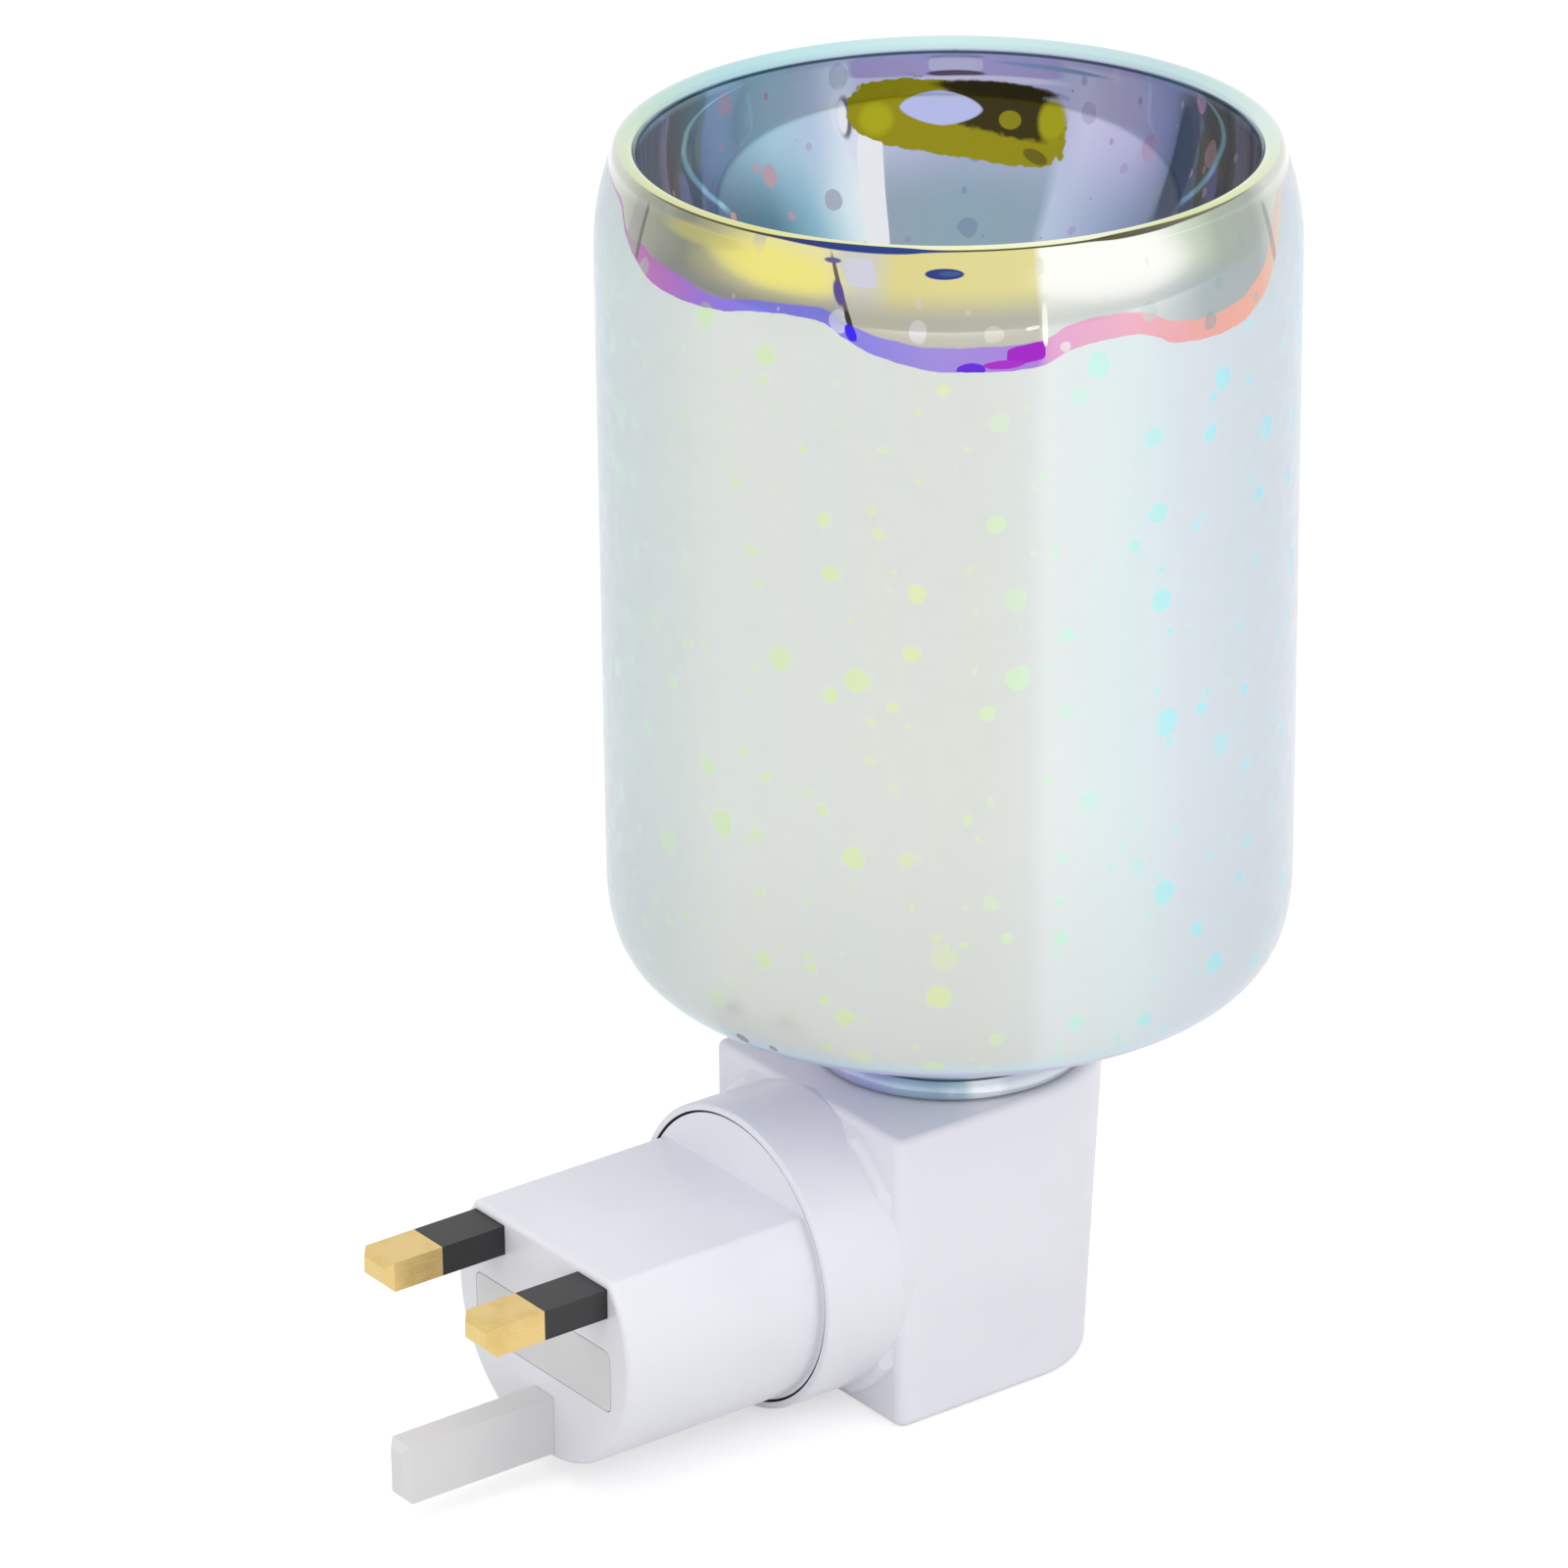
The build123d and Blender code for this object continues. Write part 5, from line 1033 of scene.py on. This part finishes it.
# Glass shade: one blown profile, spun round its axis
shade = {
    "foot": 20.0,
    "neckRadius": 16.9,
    "boreRadius": 14.6,
    "footRound": 0.5,
    "beadRadius": 18.2,
    "beadHeight": 2.8,
    "ridgeRadius": 17.6,
    "ridgeHeight": 2.2,
    "rootRadius": 3.5,
    "bottom": 30.7,
    "cornerHeight": 16.2,
    "cornerFullness": 0.8,
    "radius": 44.0,
    "wall": 1.8,
    "shoulderInset": 2.3,
    "shoulderHeight": 13.7,
    "top": 143.4,
    "lipHeight": 1.8,
    "lipThickness": 3.2,
    "bowlDepth": 32.4,
    "undersideTurn": 80.0,  # degrees of the bowl's underside before it meets the wall
    "throatRound": 1.5,
    "steps": 220,
    "mergeGap": 0.0005,
    "bowlEdge": 0.3,  # how far past the bowl's radius a face still is the bowl's
    "steepest": -0.2,  # faces that look down more than this are the underside
}

# How many steps each curve of the profile has
profileSteps = {
    "bead": 12, "root": 10, "corner": 36, "wall": 12, "shoulder": 14, "lip": 18, "bowl": 48,
    "underside": 30, "fillet": 8, "innerCorner": 24, "throat": 10,
}

finishes = {name: moulding(name) for name in mouldings}
finishes.update({name: metal(name) for name in metals})
finishes["plated_glass"] = platedWall()
finishes["lamp_quartz"] = lampQuartz()
print("materials made")


# Nodes whose shape is right stay, and wear their slot's material
def dressNodes():
    for part in frame["record"]["subparts"]:
        item = nodes[part["node"]]
        item.data.materials.clear()
        item.data.materials.append(finishes[part["material_slot"]])


dressNodes()
print("nodes dressed")


# Points on a Bezier curve of radius and height, without its first point
def curveThrough(start, firstHandle, secondHandle, end, count):
    points = []
    for step in range(1, count + 1):
        t = step / count
        shares = ((1 - t) ** 3, 3 * (1 - t) ** 2 * t, 3 * (1 - t) * t ** 2, t ** 3)
        pairs = list(zip(shares, (start, firstHandle, secondHandle, end)))
        points.append(tuple(sum(share * corner[k] for share, corner in pairs) for k in (0, 1)))
    return points


# Points on an arc of a circle or an ellipse, without its first point
def arcAbout(centre, radii, start, end, count):
    points = []
    for step in range(1, count + 1):
        angle = math.radians(start + (end - start) * step / count)
        points.append((centre[0] + radii[0] * math.cos(angle), centre[1] + radii[1] * math.sin(angle)))
    return points


# Levels and radii that follow from the shade's sizes
def shadePlaces():
    s = shade
    rimOut = s["radius"] - s["shoulderInset"]
    return {
        "neckTop": s["bottom"] - s["rootRadius"],
        "rootOut": s["neckRadius"] + s["rootRadius"],
        "wallFoot": s["bottom"] + s["cornerHeight"],
        "wallTop": s["top"] - s["shoulderHeight"],
        "rimLevel": s["top"] - s["lipHeight"],
        "rimOut": rimOut,
        "bowlRadius": rimOut - s["lipThickness"],
        "inside": s["radius"] - s["wall"],
    }


# From the neck's foot up the outside to the top of the rim
def outerSkin(place):
    s, n = shade, profileSteps
    skin = [(s["boreRadius"], s["foot"]), (s["neckRadius"] - s["footRound"], s["foot"])]
    low = s["foot"]
    for peak, rise in ((s["beadRadius"], s["beadHeight"]), (s["ridgeRadius"], s["ridgeHeight"])):
        reach = (peak - s["neckRadius"], rise / 2)
        skin += arcAbout((s["neckRadius"], low + rise / 2), reach, -90, 90, n["bead"])
        low += rise
    skin += [(s["neckRadius"], place["neckTop"])]
    root = (-s["rootRadius"], s["rootRadius"])
    skin += arcAbout((place["rootOut"], place["neckTop"]), root, 0, 90, n["root"])
    full, bulge = s["cornerFullness"], s["radius"] - place["rootOut"]
    skin += curveThrough(
        (place["rootOut"], s["bottom"]), (place["rootOut"] + full * bulge, s["bottom"]),
        (s["radius"], place["wallFoot"] - full * s["cornerHeight"]), (s["radius"], place["wallFoot"]),
        n["corner"],
    )
    wallHeight = place["wallTop"] - place["wallFoot"]
    for step in range(1, n["wall"] + 1):
        skin.append((s["radius"], place["wallFoot"] + wallHeight * step / n["wall"]))
    rise = place["rimLevel"] - place["wallTop"]
    radius = (s["shoulderInset"] ** 2 + rise ** 2) / (2 * s["shoulderInset"])
    turn = math.degrees(math.asin(rise / radius))
    skin += arcAbout((s["radius"] - radius, place["wallTop"]), (radius, radius), 0, turn, n["shoulder"])
    lip = s["lipThickness"] / 2
    middle = (place["rimOut"] - lip, place["rimLevel"])
    return skin + arcAbout(middle, (lip, s["lipHeight"]), 0, 180, n["lip"])


# The hollow between the bowl and the wall, from under the bowl down to the neck
def innerSkin(place):
    s, n = shade, profileSteps
    radii = (place["bowlRadius"] + s["wall"], s["bowlDepth"] + s["wall"])
    turn = s["undersideTurn"]
    skin = [(0.0, place["rimLevel"] - radii[1])]
    skin += arcAbout((0, place["rimLevel"]), radii, -90, turn - 90, n["underside"])
    out, level = skin[-1]
    gap, inside = place["inside"] - out, place["inside"]
    skin += curveThrough(
        (out, level), (out + gap / 2, level + gap), (inside, (level + place["wallTop"]) / 2),
        (inside, place["wallTop"]), n["fillet"],
    )
    skin += [(inside, place["wallFoot"])]
    full, bulge = s["cornerFullness"], s["radius"] - place["rootOut"] - s["wall"]
    floor = s["bottom"] + s["wall"]
    skin += curveThrough(
        (inside, place["wallFoot"]), (inside, place["wallFoot"] - full * (s["cornerHeight"] - s["wall"])),
        (place["rootOut"] + full * bulge, floor), (place["rootOut"], floor), n["innerCorner"],
    )
    return skin + curveThrough(
        (place["rootOut"], floor), (s["boreRadius"] + s["throatRound"], floor),
        (s["boreRadius"], s["bottom"]), (s["boreRadius"], place["neckTop"]), n["throat"],
    )


# Makes a piece of a bmesh that is drawn in millimetres
def finishPiece(bm, name, body, materials, stands):
    bmesh.ops.scale(bm, vec=(mm, mm, mm), verts=bm.verts)
    mesh = bpy.data.meshes.new(name)
    bm.to_mesh(mesh)
    bm.free()
    for material in materials:
        mesh.materials.append(material)
    item = bpy.data.objects.new(name, mesh)
    bpy.context.scene.collection.objects.link(item)
    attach(item, body)
    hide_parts(stands)


def blowShade():
    place = shadePlaces()
    rimLevel, bowlRadius = place["rimLevel"], place["bowlRadius"]
    bowl = arcAbout((0, rimLevel), (bowlRadius, shade["bowlDepth"]), 0, -90, profileSteps["bowl"])
    profile = outerSkin(place) + bowl + innerSkin(place)
    centre = glassMiddle / mm
    bm = bmesh.new()
    verts = [bm.verts.new((centre.x + radius, centre.y, height)) for radius, height in profile]
    edges = [bm.edges.new(pair) for pair in zip(verts, verts[1:] + verts[:1])]
    bmesh.ops.spin(
        bm, geom=verts + edges, cent=centre, axis=(0, 0, 1), angle=math.tau, steps=shade["steps"],
        use_merge=True,
    )
    bmesh.ops.remove_doubles(bm, verts=bm.verts, dist=shade["mergeGap"])
    bmesh.ops.recalc_face_normals(bm, faces=bm.faces)
    bowlFoot = rimLevel - shade["bowlDepth"] - shade["wall"] / 2
    for face in bm.faces:  # material 0 is the wall's, 1 the bowl's and 2 the neck's
        face.smooth = True
        middle = face.calc_center_median()
        reach = math.hypot(middle.x - centre.x, middle.y - centre.y)
        inBowl = middle.z > bowlFoot and reach < bowlRadius + shade["bowlEdge"]
        if middle.z < shade["bottom"] + shade["wall"] and reach < place["rootOut"]:
            face.material_index = 2
        elif inBowl and face.normal.z > shade["steepest"]:
            face.material_index = 1
    coats = (finishes["plated_glass"], platedBowl(), platedNeck())
    finishPiece(bm, "glassShade", "shade", coats, "glass_shade")


blowShade()
print("glass blown")


# Lamp filament: a fine coil that rises, crosses over and comes down again on straight legs
filament = {
    "coilRadius": 0.27,
    "wireRadius": 0.07,
    "pitch": 0.30,
    "legLength": 3.0,
    "stepsPerTurn": 8,
    "wireSides": 5,
    "legSides": 8,
}


# A ring beside the run is spun round it while it moves along
def windRun(bm, start, end):
    along = (end - start).normalized()
    beside = along.orthogonal().normalized()
    turns = round((end - start).length / filament["pitch"])
    steps = turns * filament["stepsPerTurn"]
    axes = Matrix((beside, along, beside.cross(along))).transposed().to_4x4()
    place = Matrix.Translation(start + beside * filament["coilRadius"]) @ axes
    ring = bmesh.ops.create_circle(
        bm, radius=filament["wireRadius"], segments=filament["wireSides"], matrix=place
    )["verts"]
    edges = list({edge for vert in ring for edge in vert.link_edges})
    bmesh.ops.spin(
        bm, geom=ring + edges, cent=start, axis=along, dvec=along * ((end - start).length / steps),
        angle=math.tau * turns, steps=steps,
    )


def drawLeg(bm, low, high):
    place = Matrix.Translation((low + high) / 2)
    bmesh.ops.create_cone(
        bm, cap_ends=True, segments=filament["legSides"], radius1=filament["wireRadius"],
        radius2=filament["wireRadius"], depth=(high - low).length, matrix=place,
    )


def windFilament():
    low, high = (Vector(corner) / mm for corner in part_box("bulb_filament"))
    middle = (low + high) / 2
    reach = filament["coilRadius"] + filament["wireRadius"]
    left, right = low.x + reach, high.x - reach
    legTop, top = low.z + filament["legLength"], high.z - reach
    bm = bmesh.new()
    bends = ((left, legTop), (left, top), (right, top), (right, legTop))
    corners = [Vector((x, middle.y, z)) for x, z in bends]
    for start, end in zip(corners, corners[1:]):
        windRun(bm, start, end)
    for x in (left, right):
        drawLeg(bm, Vector((x, middle.y, low.z)), Vector((x, middle.y, legTop + filament["pitch"])))
    bmesh.ops.holes_fill(bm, edges=[edge for edge in bm.edges if edge.is_boundary], sides=0)
    bmesh.ops.recalc_face_normals(bm, faces=bm.faces)
    for face in bm.faces:
        face.smooth = len(face.verts) == 4
    finishPiece(bm, "filamentCoil", "lamp", (finishes["tungsten"],), "bulb_filament")


windFilament()
print("filament wound")
